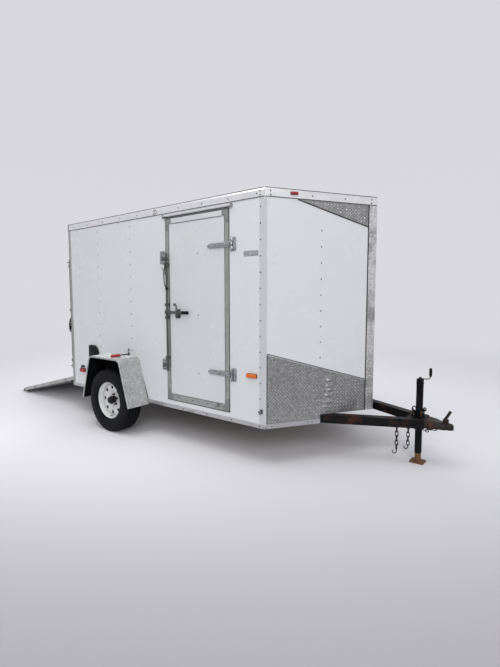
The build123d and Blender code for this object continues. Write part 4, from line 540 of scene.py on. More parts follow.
# Coupler latch: a pressed steel lever that curls forward, pinned between two ears over the head. It stands
# up when unlocked, as here, and is as rusty as the coupler.
LEVER_LENGTH = 0.086
latch_low, latch_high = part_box("coupler_latch")
lever_top = Vector((head_x + 0.006, 0.0, latch_high[2] - 0.004))
lever_foot = Vector((head_x - 0.034, 0.0, latch_low[2] + 0.026))
lever = plate((-0.0045, -0.012, 0.0), (0.0045, 0.012, LEVER_LENGTH), 0.002)
edit_all(lever)
bpy.ops.mesh.subdivide(number_cuts=3)
close_edit(lever)
for vertex in lever.data.vertices:
    vertex.co.x += 0.012 * (vertex.co.z / LEVER_LENGTH) ** 2
lean = (lever_top - lever_foot).to_track_quat("Z", "Y").to_matrix().to_4x4()
lever.data.transform(Matrix.Translation(lever_foot) @ lean)
latch_pieces = [lever]
for y in (-0.012, 0.009):
    ear = (head_x - 0.052, y, latch_low[2] - 0.004), (head_x - 0.006, y + 0.003, latch_low[2] + 0.030)
    latch_pieces.append(plate(*ear, 0.0014))
latch_pin = (head_x - 0.030, -0.016, latch_low[2] + 0.022), (head_x - 0.030, 0.016, latch_low[2] + 0.022)
latch_pieces.append(round_bar(*latch_pin, 0.005, 12))
latch_piece = hand_over(joined(latch_pieces), "coupler_latch_lever", coupler_rust, "root")
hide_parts("coupler_latch")

# Tongue jack: a black painted round tube bolted through a triangular flange. The paint is chipped to bare
# metal in small spots, and steel eyes are welded to the upper flange.
FLANGE_TOP = 0.4622
jack_paint = weathered_and_sheened(
    "jack_paint", (0.00455, 0.0049, 0.00595), (0.15, 0.14, 0.125), 34.0, 0.665, 0.03, 0.35,
    bump=0.25, fine=160.0, mottle=0.4, specular=0.12,
)
dress(("jack_tube",), jack_paint)
tube_low, tube_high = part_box("jack_tube")
leg_low, leg_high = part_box("jack_leg")
jack_x = (leg_low[0] + leg_high[0]) / 2


def round_the_jack(turn, radius):
    """A place on a circle about the jack, by its turn in degrees."""
    return jack_x + radius * math.cos(math.radians(turn)), radius * math.sin(math.radians(turn))


jack_bolts = []
for turn in (60.0, 180.0, 300.0):
    bolt = round_the_jack(turn, 0.056)
    jack_bolts.append(round_bar((*bolt, FLANGE_TOP), (*bolt, FLANGE_TOP + 0.009), 0.011, 6, 0.001))
    jack_bolts.append(round_bar((*bolt, 0.424), (*bolt, FLANGE_TOP + 0.016), 0.006, 12))
hand_over(joined(jack_bolts), "jack_bolts", spring_steel, "root")
jack_eyes = []
for turn, size in ((215.0, 0.017), (20.0, 0.012)):
    bpy.ops.mesh.primitive_torus_add(
        major_segments=20,
        minor_segments=8,
        major_radius=size,
        minor_radius=0.0045,
        location=(*round_the_jack(turn, 0.045), FLANGE_TOP + size + 0.006),
        rotation=(math.radians(90.0), 0.0, math.radians(30.0)),
    )
    eye = bpy.context.object
    edit_all(eye)
    bpy.ops.transform.resize(value=(1.0, 1.0, 1.2))
    close_edit(eye)
    jack_eyes.append(settle(eye))
hand_over(joined(jack_eyes), "jack_eyes", jack_paint, "root")
collar = round_bar((jack_x, 0, tube_high[2] - 0.02), (jack_x, 0, tube_high[2] - 0.006), 0.0325, 32, 0.002)
hand_over(collar, "jack_tube_collar", jack_paint, "root")

# Jack crank: a domed gear cap, a bent steel rod and a black rubber grip that turns on the rod's end.
# The cap is painted like the tube, and the rod is plated, with spots of rust.
GRIP_RINGS = 9
crank_low, crank_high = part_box("jack_crank")
cap_z, crank_top = crank_low[2], crank_high[2]
gear_pieces = [
    round_bar((jack_x, 0, cap_z), (jack_x, 0, cap_z + 0.026), 0.031, 32, 0.008),
    round_bar((jack_x, 0, cap_z + 0.02), (jack_x, 0, cap_z + 0.040), 0.012, 16, 0.003),
]
gear_cap = hand_over(joined(gear_pieces), "jack_gear_cap", jack_paint, "root")
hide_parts("jack_crank")
grip_x = jack_x + 0.085
crank_points = (
    (jack_x, 0, cap_z + 0.032),
    (jack_x + 0.03, 0, cap_z + 0.030),
    (grip_x - 0.022, 0, cap_z + 0.031),
    (grip_x - 0.004, 0, cap_z + 0.042),
    (grip_x, 0, cap_z + 0.064),
    (grip_x, 0, crank_top - 0.006),
)
crank_rod = bent_rod(crank_points, 0.006, sides=4)
hand_over(crank_rod, "jack_crank_rod", plated_steel, "root")
grip_rubber = weathered_and_sheened(
    "grip_rubber", (0.006, 0.006, 0.0064), (0.035, 0.0325, 0.03), 40.0, 0.6, 0.12, 0.6,
    bump=0.3, fine=220.0, mottle=0.3, specular=0.15,
)
grip_low = cap_z + 0.054
crank_grip = round_bar((grip_x, 0, grip_low), (grip_x, 0, crank_top), 0.0105, 24, 0.003)
edit_all(crank_grip)
for step in range(1, GRIP_RINGS):
    ring_z = grip_low + step * (crank_top - grip_low) / GRIP_RINGS
    bpy.ops.mesh.select_all(action="SELECT")
    bpy.ops.mesh.bisect(plane_co=(grip_x, 0, ring_z), plane_no=(0, 0, 1))
close_edit(crank_grip)
grip_middle = (grip_low + crank_top) / 2
for vertex in crank_grip.data.vertices:
    swell = 1.0 + 0.22 * max(0.0, 1.0 - ((vertex.co.z - grip_middle) / 0.036) ** 2)
    vertex.co.x = grip_x + (vertex.co.x - grip_x) * swell
    vertex.co.y *= swell
hand_over(crank_grip, "jack_crank_grip", grip_rubber, "root")

# Jack leg: the inner tube on a square foot of thick plate, with a low square boss welded round its end.
# It is bare steel, orange brown with rust all over.
leg_rust = weathered_and_sheened(
    "leg_rust", (0.19, 0.085, 0.03), (0.10, 0.04, 0.02), 22.0, 0.52, 0.16, 0.75,
    bump=0.5, fine=130.0, mottle=0.35,
)
dress(("jack_leg",), leg_rust)
foot_boss = round_bar((0, 0, 0.0075), (0, 0, 0.0135), 0.046, 4, 0.001, 0.036)
foot_boss.data.transform(Matrix.Translation((jack_x, 0, 0)) @ Matrix.Rotation(math.radians(45.0), 4, "Z"))
hand_over(foot_boss, "jack_foot_boss", leg_rust, "jack_leg")

# Safety chains: welded links of round bar, each turned across the next, hung under the tongue tubes, and
# each ending in an open hook. They are dull and dark with a little rust.
NOSE_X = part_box("side_wall_right")[1][0]
LINK_WIRE = 0.0045
LINK_PITCH = 0.040
LINK_STRETCH = LINK_PITCH / 2 - 0.0077
CHAIN_TOP = 0.3292
chain_iron = weathered_and_sheened(
    "chain_iron", (0.025, 0.0235, 0.0225), (0.06, 0.03, 0.018), 50.0, 0.5, 0.15, 0.5,
    metallic=0.6, bump=0.4, fine=220.0, specular=0.2,
)


def chain_link(centre, along, across, size=1.0):
    """One link: a ring pulled long, with its middle line along one way and its width across another."""
    bpy.ops.object.select_all(action="DESELECT")
    bpy.ops.mesh.primitive_torus_add(
        major_segments=20, minor_segments=8, major_radius=0.012, minor_radius=LINK_WIRE
    )
    link = bpy.context.object
    for vertex in link.data.vertices:
        if abs(vertex.co.x) > 0.001:
            vertex.co.x += math.copysign(LINK_STRETCH, vertex.co.x)
    along = Vector(along).normalized()
    across = (Vector(across) - Vector(across).dot(along) * along).normalized()
    turn = Matrix((along, across, along.cross(across))).transposed().to_4x4()
    link.data.transform(Matrix.Translation(centre) @ turn @ Matrix.Scale(size, 4))
    return link


chain_pieces = []
for chain_x, chain_y, links in ((NOSE_X + 0.893, -0.1456, 5), (NOSE_X + 0.911, 0.1372, 6)):
    for index in range(links):
        link_z = CHAIN_TOP - 0.02465 - index * LINK_PITCH
        across = (1, 0, 0) if index % 2 else (0, 1, 0)
        chain_pieces.append(chain_link((chain_x, chain_y, link_z), (0, 0, 1), across))
    hook_top = CHAIN_TOP - links * LINK_PITCH
    hook_bend = (
        # back from the chain, down from its end
        (0.0, 0.002),
        (-0.001, 0.022),
        (0.006, 0.038),
        (0.019, 0.044),
        (0.032, 0.036),
        (0.035, 0.020),
    )
    hook = [(chain_x - back, chain_y, hook_top - down) for back, down in hook_bend]
    chain_pieces.append(bent_rod(hook, LINK_WIRE))
chain_piece = hand_over(joined(chain_pieces), "safety_chain_links", chain_iron, "root")
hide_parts("safety_chains")

# Spare length of chain: it comes over the right tongue tube behind the jack, slants down its outer face
# and is gathered under the coupler, the links pressed against the steel.
SLANT_LINKS = 9
slant_start = Vector((NOSE_X + 0.918, -0.176, 0.424))
slant_end = Vector((NOSE_X + 1.050, -0.116, 0.327))
tube_side = Vector((TONGUE_SLOPE, 1.0, 0.0))
spare_links = []
for index in range(SLANT_LINKS):
    centre = slant_start.lerp(slant_end, index / (SLANT_LINKS - 1))
    centre.y = (centre.x - slant_start.x) * TONGUE_SLOPE - 0.1809
    along = slant_end - slant_start
    spare_links.append(chain_link(centre, along, tube_side if index % 2 else along.cross(tube_side), 0.46))
gathered = (
    # x from the nose corner, y, z, direction
    (1.075, -0.060, 0.328, (1, 0.3, -0.1)),
    (1.106, -0.048, 0.322, (1, 0.4, 0.1)),
    (1.137, -0.036, 0.326, (1, 0.3, -0.2)),
    (1.122, -0.052, 0.312, (0.8, -0.5, 0.2)),
    (1.150, -0.050, 0.334, (1, 0.1, 0.3)),
    (1.180, -0.046, 0.336, (1, 0.2, 0.0)),
)
for index, (x, y, z, along) in enumerate(gathered):
    across = (0, 0, 1) if index % 2 else (0, 1, 0.2)
    spare_links.append(chain_link((NOSE_X + x, y, z), along, across, 0.8))
hand_over(joined(spare_links), "spare_chain", chain_iron, "root")

# Outer skin: smooth white painted aluminium sheet over steel posts. Each panel is slightly wavy, so that
# the light rolls over it, and road film dulls it in soft patches.
def waves_group():
    """Slow waves of a thin sheet between its posts; puts out a normal."""
    group, given, put = new_group(
        "panel_waves",
        (("Scale", "Float", 2.2), ("Strength", "Float", 0.25), ("Distance", "Float", 0.006)),
        (("Normal", "Vector"),),
    )
    place = add_node(group, "TexCoord").outputs["Object"]
    waves = add_node(group, "TexNoise", {"Vector": place, "Scale": given["Scale"], "Detail": 1.5})
    relief_sockets = {label: given[label] for label in ("Strength", "Distance")}
    relief = add_node(group, "Bump", {"Height": waves.outputs["Fac"], **relief_sockets})
    group.links.new(relief.outputs["Normal"], put["Normal"])
    return group


panel_waves = waves_group()


def wavy(material, scale=2.2, strength=0.25):
    """Adds the sheet's waves to a material."""
    tree = material.node_tree
    waves = add_node(tree, "Group", {"Scale": scale, "Strength": strength}, node_tree=panel_waves)
    tree.links.new(waves.outputs["Normal"], tree.nodes["Principled BSDF"].inputs["Normal"])
    return material


white_skin = weathered_and_sheened(
    "white_skin", (0.705, 0.72, 0.735), (0.68, 0.695, 0.71), 0.9, 0.42, 0.4, 0.2, fine=5.0, mottle=0.02
)
dress(("side_wall_right", "side_wall_left", "nose_wall_right", "nose_wall_left"), wavy(white_skin))
strip_paint = weathered_and_sheened(
    "strip_paint", (0.57, 0.58, 0.595), (0.51, 0.515, 0.52), 1.5, 0.5, 0.3, 0.3, mottle=0.03
)
dress(("corner_strips",), strip_paint)
mill_aluminium = weathered_and_sheened(
    "mill_aluminium", (0.84, 0.845, 0.85), (0.55, 0.55, 0.54), 2.2, 0.54, 0.25, 0.32,
    metallic=0.7, fine=14.0, mottle=0.1,
)
dress(("roof_trim", "drip_rail"), mill_aluminium)
roof_sheet = weathered_and_sheened(
    "roof_sheet", (0.62, 0.63, 0.64), (0.45, 0.45, 0.44), 2.0, 0.5, 0.3, 0.4, metallic=0.4
)
dress(("roof",), wavy(roof_sheet, 1.5, 0.4))

# Rivets: dull heads, painted dark for the heads and for the shadow round each, in columns on the posts,
# and in rows along the roof trim and the bottom trim, with pairs beside the seams of the roof trim. They
# hold the sheets and trims to the frame.
HALF = -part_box("side_wall_right")[0][1]
REAR_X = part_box("rear_posts")[0][0]
TIP_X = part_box("nose_wall_right")[1][0]
TRIM_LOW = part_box("roof_trim")[0][2]
TRIM_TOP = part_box("roof_trim")[1][2]
BAY = 0.6096
TRIM_SEAM = REAR_X + 1.668
BOTTOM_TRIM_MIDDLE = 0.350
RIVET_STEP = 0.136
ROWS = 14
nose_angle = math.atan2(HALF, TIP_X - NOSE_X)
nose_length = math.hypot(HALF, TIP_X - NOSE_X)
nose_cos, nose_sin = math.cos(nose_angle), math.sin(nose_angle)


def face_matrix(origin, along, outward):
    """A frame on one side of the body: x along it, y up, z outwards."""
    along, outward = Vector(along).normalized(), Vector(outward).normalized()
    turned_frame = Matrix((along, outward.cross(along), outward)).transposed()
    return Matrix.Translation(origin) @ turned_frame.to_4x4()


FACES = {
    # side: frame, direction in which its first coordinate grows
    "right": (face_matrix((0, -HALF, 0), (1, 0, 0), (0, -1, 0)), 1),
    "left": (face_matrix((0, HALF, 0), (-1, 0, 0), (0, 1, 0)), -1),
    "nose_right": (face_matrix((NOSE_X, -HALF, 0), (nose_cos, nose_sin, 0), (nose_sin, -nose_cos, 0)), 1),
    "nose_left": (face_matrix((NOSE_X, HALF, 0), (-nose_cos, nose_sin, 0), (nose_sin, nose_cos, 0)), -1),
    "rear": (face_matrix((REAR_X, 0, 0), (0, -1, 0), (-1, 0, 0)), -1),
}


def on_face(face, along, height, out=0.0, turn=0.0):
    """Where something stands on a side of the body: x along it, y up and z outwards, turned about z."""
    face_frame, grows = FACES[face]
    spot = Matrix.Translation((grows * along, height, out))
    return face_frame @ spot @ Matrix.Rotation(grows * turn, 4, "Z")


def rivet_head(radius=0.0066, height=0.0030):
    """A low domed head with its foot at the origin."""
    bpy.ops.object.select_all(action="DESELECT")
    bpy.ops.mesh.primitive_uv_sphere_add(segments=10, ring_count=6, radius=radius)
    head = bpy.context.object
    head.scale = (1.0, 1.0, height / radius)
    return settle(head)


body_rivets = []
for face, bays in (("right", (1, 2)), ("left", (1, 2, 3, 4))):
    for row in range(ROWS):
        for bay in bays:
            height = 2.238 - row * RIVET_STEP
            if bay > 2 or height > 0.84:
                body_rivets.append(on_face(face, REAR_X + bay * BAY + 0.025, height))
        body_rivets.append(on_face(face, NOSE_X - 0.044, 2.225 - row * RIVET_STEP, 0.002))
    for step in range(10):
        along = REAR_X + 0.12 + step * (NOSE_X - REAR_X - 0.2) / 9
        body_rivets.append(on_face(face, along, TRIM_LOW + 0.034, 0.004))
        body_rivets.append(on_face(face, along + 0.03, BOTTOM_TRIM_MIDDLE, 0.003))
    for along in (TRIM_SEAM - 0.018, TRIM_SEAM + 0.018, NOSE_X - 0.045):
        for height in (TRIM_LOW + 0.018, TRIM_LOW + 0.05):
            body_rivets.append(on_face(face, along, height, 0.004))
for face in ("nose_right", "nose_left"):
    body_rivets += [on_face(face, 0.535, 2.05 - row * 0.14) for row in range(9)]
    body_rivets += [on_face(face, along, TRIM_LOW + 0.036, 0.004) for along in (0.438, 0.763)]
    body_rivets += [on_face(face, along, BOTTOM_TRIM_MIDDLE, 0.003) for along in (0.07, 0.46)]
    for along in (0.052, nose_length - 0.06):
        for height in (TRIM_LOW + 0.018, TRIM_LOW + 0.05):
            body_rivets.append(on_face(face, along, height, 0.004))
# Painted shade: the heads' dark colour also stands for the shadow round each head.
rivet_metal = weathered_and_sheened(
    "rivet_metal", (0.022, 0.022, 0.024), (0.03, 0.022, 0.018), 40.0, 0.56, 0.1, 0.55,
    metallic=0.3, specular=0.3,
)
hand_over(copied(rivet_head(), body_rivets), "body_rivets", rivet_metal, "root")

# Blank label: a thin grey plastic plate with round corners, stuck on the side wall behind the nose, with
# nothing on it.
def pressed(outline, depth, place, bevel=0.0, segments=2):
    """A flat piece cut to an outline of points, as thick as its depth, with its edges eased."""
    piece = from_points("pressed", [(x, y, 0.0) for x, y in outline], [], [range(len(outline))])
    thick = piece.modifiers.new("thick", "SOLIDIFY")
    thick.thickness = depth
    thick.offset = 1.0
    if bevel:
        ease(piece, bevel, segments, sharper=30.0)
    settle(piece)
    piece.data.transform(place)
    return faced_out(piece, merged=False)


def pad(width, height, radius, depth, place, bevel=0.0, steps=4, segments=2):
    """A flat piece with round corners about its place, with so many steps to a corner."""
    outline = []
    for quarter, (x, y) in enumerate(((1, 1), (-1, 1), (-1, -1), (1, -1))):
        for step in range(steps + 1):
            turn = math.radians(90.0 * (quarter + step / steps))
            across = x * (width / 2 - radius) + radius * math.cos(turn)
            outline.append((across, y * (height / 2 - radius) + radius * math.sin(turn)))
    return pressed(outline, depth, place, bevel, segments)


label_grey = weathered_and_sheened(
    "label_grey", (0.30, 0.31, 0.32), (0.44, 0.45, 0.45), 30.0, 0.5, 0.15, 0.45, mottle=0.1
)
label = pad(0.160, 0.047, 0.004, 0.0012, on_face("right", 1.550, 1.845), 0.0004)
hand_over(label, "wall_label", label_grey, "root")

# Tread plate: bright aluminium rolled with small raised bars, set crosswise in turn. It covers the foot of
# the nose, two wedges under the roof trim and the tip cap. The sheet is painted dark grey with darker
# patches as painted reflections, and the tip cap is painted bright with dark patches as painted
# reflections.
# Painted reflection: dark grey, with darker patches for the reflections that change over the sheet.
tread_plate = weathered_and_sheened(
    "tread_plate", (0.36, 0.362, 0.362), (0.19, 0.19, 0.188), 3.0, 0.47, 0.25, 0.36,
    metallic=0.85, fine=40.0, mottle=0.35,
)
dress(("nose_plates",), tread_plate)
# Painted reflection: the tip cap is painted bright, with dark patches for the reflections and highlights
# over it.
cap_plate = weathered_and_sheened(
    "cap_plate", (0.80, 0.80, 0.795), (0.32, 0.32, 0.32), 2.6, 0.50, 0.10, 0.30,
    metallic=0.85, fine=40.0, mottle=0.35,
)
dress(("nose_cap",), cap_plate)
# Painted highlight: the raised bars are painted far brighter than the sheet they are rolled from.
tread_bar = weathered_and_sheened(
    "tread_bar", (0.96, 0.96, 0.955), (0.70, 0.70, 0.69), 6.0, 0.5, 0.2, 0.26,
    metallic=0.9, fine=40.0, mottle=0.2,
)
# Painted glint: every raised bar is painted lighter by its own random amount.
bar_tree = tread_bar.node_tree
bar_color = bar_tree.nodes["Principled BSDF"].inputs["Base Color"]
painted_glint_share = add_node(bar_tree, "NewGeometry").outputs["Random Per Island"]
painted_glint_share = ranged(bar_tree, painted_glint_share, 0.0, 1.0, 0.35, 1.0)
painted_glint = blended(bar_tree, 1.0, bar_color.links[0].from_socket, painted_glint_share, "MULTIPLY")
bar_tree.links.new(painted_glint, bar_color)

TREAD_PITCH = 0.031
GUARD_START, GUARD_FINISH = 0.024, nose_length - 0.089
GUARD_HIGH, GUARD_LOW = 0.981, 0.699
BODY_FOOT = 0.371
CAP_FOOT = 0.4102
WEDGE_START, WEDGE_DROP = 0.302, 0.192
GUARD_STEP = 0.541
CAP_START, CAP_FINISH = nose_length - 0.083, nose_length - 0.004
guard_outline = (
    (GUARD_START, BODY_FOOT),
    (GUARD_STEP, BODY_FOOT),
    (GUARD_STEP, CAP_FOOT),
    (GUARD_FINISH, CAP_FOOT),
    (GUARD_FINISH, GUARD_LOW),
    (GUARD_START, GUARD_HIGH),
)
wedge_outline = ((WEDGE_START, TRIM_LOW), (GUARD_FINISH, TRIM_LOW), (GUARD_FINISH, TRIM_LOW - WEDGE_DROP))
cap_outline = (
    (CAP_START, CAP_FOOT),
    (CAP_FINISH, CAP_FOOT),
    (CAP_FINISH, TRIM_LOW),
    (CAP_START, TRIM_LOW),
)


def inside(point, outline):
    """Whether a flat point lies inside an outline."""
    x, y = point
    odd = False
    for (x1, y1), (x2, y2) in zip(outline, outline[1:] + outline[:1]):
        if (y1 > y) != (y2 > y) and x < (x2 - x1) * (y - y1) / (y2 - y1) + x1:
            odd = not odd
    return odd


def tread_places(outline, margin=0.011):
    """Places of the raised bars inside an outline, with the way that each is turned."""
    lows = [min(column) for column in zip(*outline)]
    highs = [max(column) for column in zip(*outline)]
    reaches = ((margin, 0), (-margin, 0), (0, margin), (0, -margin))
    found = []
    for row in range(int((highs[1] - lows[1]) / TREAD_PITCH * 2) + 1):
        for step in range(int((highs[0] - lows[0]) / TREAD_PITCH) + 1):
            x = lows[0] + (step + 0.5 * (row % 2)) * TREAD_PITCH
            y = lows[1] + row * TREAD_PITCH / 2
            if all(inside((x + dx, y + dy), outline) for dx, dy in reaches):
                found.append((x, y, math.radians(45.0 if row % 2 else -45.0)))
    return found


def tread_pattern():
    """One raised bar of tread plate, long and low, with a flat ridge."""
    bpy.ops.object.select_all(action="DESELECT")
    bpy.ops.mesh.primitive_cone_add(vertices=4, radius1=0.0120, radius2=0.0065, depth=0.0018)
    bar = bpy.context.object
    bar.scale = (1.0, 0.36, 1.0)
    return settle(bar)


DENTS = (
    # along the nose, height, reach along, reach up, how far out
    (0.632, 0.722, 0.030, 0.013, 0.018),
    (0.626, 0.672, 0.034, 0.012, 0.014),
    (0.640, 0.632, 0.026, 0.011, 0.016),
    (0.622, 0.585, 0.036, 0.014, 0.020),
    (0.618, 0.520, 0.040, 0.013, 0.017),
    (0.600, 0.480, 0.034, 0.011, 0.012),
    (0.530, 0.828, 0.030, 0.010, 0.006),
)


def dent_height(along, height):
    """How far the crumpled stone guard stands out at a place."""
    total = 0.0
    for centre, middle, reach, rise, out in DENTS:
        total += out * math.exp(-(((along - centre) / reach) ** 2) - ((height - middle) / rise) ** 2)
    return total


for face in ("nose_right", "nose_left"):
    bar_places = []
    for outline in (guard_outline, wedge_outline, cap_outline):
        for along, height, turn in tread_places(outline):
            out = 0.0032 if outline is cap_outline else 0.0022
            if face == "nose_right" and outline is guard_outline:
                out += dent_height(along, height)
            bar_places.append(on_face(face, along, height, out, turn))
    bars = copied(tread_pattern(), bar_places)
    hand_over(bars, face + "_tread_bars", tread_bar, "root")

# Crumpled patch: the right stone guard has been hit near its middle, and stands out there in a column of
# sharp folds. It is the guard's own sheet, pushed up.
CRUMPLE_ALONG, CRUMPLE_HEIGHT = 0.60, 0.642
bpy.ops.object.select_all(action="DESELECT")
bpy.ops.mesh.primitive_grid_add(x_subdivisions=60, y_subdivisions=120, size=1.0)
crumple = bpy.context.object
crumple.scale = (0.27, 0.44, 1.0)
settle(crumple)
guard_fall = (GUARD_HIGH - GUARD_LOW) / (GUARD_FINISH - GUARD_START)
for vertex in crumple.data.vertices:
    along = vertex.co.x + CRUMPLE_ALONG
    height = max(vertex.co.y + CRUMPLE_HEIGHT, CAP_FOOT + 0.0013)
    rise = dent_height(along, height)
    highest = GUARD_HIGH - 0.001 - guard_fall * (along - GUARD_START)
    vertex.co = (along, min(height, highest), 0.0018 + rise if rise > 0.0002 else 0.0012)
crumple.data.transform(FACES["nose_right"][0])
hand_over(crumple, "stone_guard_crumple", tread_plate, "root")

# Edge strips: narrow bright aluminium along the slanted top of each stone guard. Dark lines run above it,
# behind the guard, under the wedge and beside the tip cap: sealant in the seams, widened with painted
# shadow.
edge_aluminium = weathered_and_sheened(
    "edge_aluminium", (0.52, 0.53, 0.54), (0.22, 0.22, 0.22), 18.0, 0.5, 0.2, 0.35,
    metallic=0.85, fine=60.0,
)
dress(("bottom_trim",), edge_aluminium)
# Dark sealant; the same material also paints shadow lines on the nose, the roof trim, the door frame and
# under the drip rail.
sealant_and_shadow = weathered_and_sheened("sealant_and_shadow", (0.02, 0.02, 0.022), (0.05, 0.048, 0.046), 20.0, 0.55, 0.2, 0.6, mottle=0.3)
cap_seal_x, guard_seal_x = GUARD_FINISH + 0.003, GUARD_START - 0.002
seal_and_shadow_lines = (
    # start, finish, width
    ((cap_seal_x, CAP_FOOT), (cap_seal_x, TRIM_LOW), 0.009),
    ((guard_seal_x, BODY_FOOT), (guard_seal_x, GUARD_HIGH), 0.005),
    ((GUARD_START, GUARD_HIGH + 0.006), (GUARD_FINISH, GUARD_LOW + 0.006), 0.006),
    ((WEDGE_START, TRIM_LOW - 0.003), (GUARD_FINISH, TRIM_LOW - WEDGE_DROP - 0.002), 0.009),
)


def strip_along(face, start, finish, width, depth, out, bevel=0.0):
    """A narrow strip laid from one point to another on a side of the body."""
    (x1, y1), (x2, y2) = start, finish
    place = on_face(face, (x1 + x2) / 2, (y1 + y2) / 2, out, math.atan2(y2 - y1, x2 - x1))
    return pad(math.hypot(x2 - x1, y2 - y1), width, width / 2.2, depth, place, bevel)


edge_line = (GUARD_START, GUARD_HIGH - 0.002), (GUARD_FINISH, GUARD_LOW - 0.002)
for face in ("nose_right", "nose_left"):
    edge_strip = strip_along(face, *edge_line, 0.013, 0.0024, 0.0012, 0.0006)
    hand_over(edge_strip, face + "_edge_strips", edge_aluminium, "root")
    # Each dark line is sealant in a seam, widened with painted shadow.
    seals = [strip_along(face, *seal_line, 0.0036, 0.0004) for seal_line in seal_and_shadow_lines]
    hand_over(joined(seals), face + "_sealant", sealant_and_shadow, "root")

# Side door: a white leaf in a frame of grey aluminium extrusion, with a cast bracket over each corner, a
# white strip across its head and a rubber seal in the gap round it.
door_skin = weathered_and_sheened(
    "door_skin", (0.665, 0.675, 0.685), (0.635, 0.645, 0.655), 1.2, 0.45, 0.4, 0.22, fine=6.0, mottle=0.02
)
dress(("door_leaf",), wavy(door_skin, 2.6))
frame_aluminium = weathered_and_sheened(
    "frame_aluminium", (0.40, 0.405, 0.39), (0.28, 0.28, 0.265), 6.0, 0.5, 0.25, 0.42,
    metallic=0.6, fine=40.0, mottle=0.2,
)
dress(("door_frame", "door_jamb"), frame_aluminium)
frame_low, frame_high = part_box("door_frame")
DOOR_BACK, DOOR_FRONT = frame_low[0], frame_high[0]
DOOR_LOW, DOOR_HIGH = frame_low[2], frame_high[2]
DOOR_FACE = -frame_low[1] - HALF
DOOR_X, DOOR_Z = (DOOR_BACK + DOOR_FRONT) / 2, (DOOR_LOW + DOOR_HIGH) / 2
DOOR_WIDE, DOOR_TALL = DOOR_FRONT - DOOR_BACK, DOOR_HIGH - DOOR_LOW
bracket_shape = (
    (0.0, 0.0),
    (0.074, 0.0),
    (0.078, 0.004),
    (0.078, 0.044),
    (0.062, 0.050),
    (0.052, 0.062),
    (0.049, 0.100),
    (0.044, 0.112),
    (0.0, 0.112),
)
brackets = []
for x, grows_x in ((DOOR_BACK + 0.0005, 1), (DOOR_FRONT - 0.0005, -1)):
    for z, grows_z in ((DOOR_LOW + 0.0005, 1), (DOOR_HIGH - 0.0005, -1)):
        outline = [(grows_x * along, grows_z * up) for along, up in bracket_shape]
        if grows_x * grows_z < 0:
            outline.reverse()
        brackets.append(pressed(outline, 0.0035, on_face("right", x, z, DOOR_FACE), 0.0012))
cast_aluminium = weathered_and_sheened(
    "cast_aluminium", (0.28, 0.285, 0.285), (0.18, 0.18, 0.175), 12.0, 0.5, 0.2, 0.5,
    metallic=0.6, fine=120.0, bump=0.15,
)
hand_over(joined(brackets), "door_corner_brackets", cast_aluminium, "side_door")
head_place = on_face("right", DOOR_X, DOOR_HIGH - 0.027, DOOR_FACE)
head_strip = pad(DOOR_WIDE - 0.158, 0.048, 0.002, 0.0022, head_place, 0.0006)
hand_over(head_strip, "door_head_strip", door_skin, "side_door")
# Painted shade: thin dark strips on the frame's face stand for the shade in its grooves.
groove_shades = []
groove_out = DOOR_FACE + 0.0001
for x in (DOOR_BACK + 0.047, DOOR_FRONT - 0.047):
    place = on_face("right", x, DOOR_Z, groove_out)
    groove_shades.append(pad(0.0035, DOOR_TALL - 0.23, 0.0015, 0.0012, place))
for z in (DOOR_LOW + 0.061, DOOR_HIGH - 0.0535):
    place = on_face("right", DOOR_X, z, groove_out)
    groove_shades.append(pad(DOOR_WIDE - 0.158, 0.0035, 0.0015, 0.0012, place))
hand_over(joined(groove_shades), "door_frame_groove_shades", sealant_and_shadow, "side_door")
gap_seals = []
for x in (DOOR_BACK - 0.0035, DOOR_FRONT + 0.0035):
    gap_seals.append(pad(0.005, DOOR_TALL + 0.01, 0.002, 0.003, on_face("right", x, DOOR_Z, -0.008)))
for z in (DOOR_LOW - 0.0035, DOOR_HIGH + 0.0035):
    gap_seals.append(pad(DOOR_WIDE, 0.005, 0.002, 0.003, on_face("right", DOOR_X, z, -0.008)))
hand_over(joined(gap_seals), "door_gap_seal", sealant_and_shadow, "root")

# Door fasteners: a sparse column of dark rivets down the leaf, and screws along its bottom rail. Both hold
# the sheet to the frame behind it.
door_rivets = []
for height in (1.885, 1.300, 0.735):
    door_rivets.append(on_face("right", DOOR_FRONT - 0.385, height, DOOR_FACE - 0.002))
for along in (0.16, 0.36, 0.56, 0.68):
    door_rivets.append(on_face("right", DOOR_BACK + along, DOOR_LOW + 0.032, DOOR_FACE))
hand_over(copied(rivet_head(), door_rivets), "door_rivets", rivet_metal, "side_door")

# Strap hinges: bright pressed straps, half round in section, that taper to a blunt point across the door,
# and upright butts on the wall, each with a column of bolts.
PIN_X, PIN_Y = 1.34034, -0.9264
KNUCKLE_HALF = 0.0185
strap_metal = weathered_and_sheened(
    "strap_metal", (0.38, 0.39, 0.40), (0.20, 0.18, 0.16), 10.0, 0.58, 0.14, 0.2,
    metallic=0.95, fine=30.0, mottle=0.12,
)
strap_rows = (
    # x, half width, thickness
    (1.3180, 0.0250, 0.0125),
    (1.2700, 0.0245, 0.0160),
    (1.1800, 0.0225, 0.0165),
    (1.1000, 0.0205, 0.0160),
    (1.0720, 0.0185, 0.0140),
    (1.0520, 0.0110, 0.0085),
    (1.0425, 0.0030, 0.0040),
)
strap_steps = len(strap_rows) - 1


def pin_bar(low, high, radius, sides):
    """A round bar on the hinge's pin line, between two heights."""
    return round_bar((PIN_X, PIN_Y, low), (PIN_X, PIN_Y, high), radius, sides, 0.001)


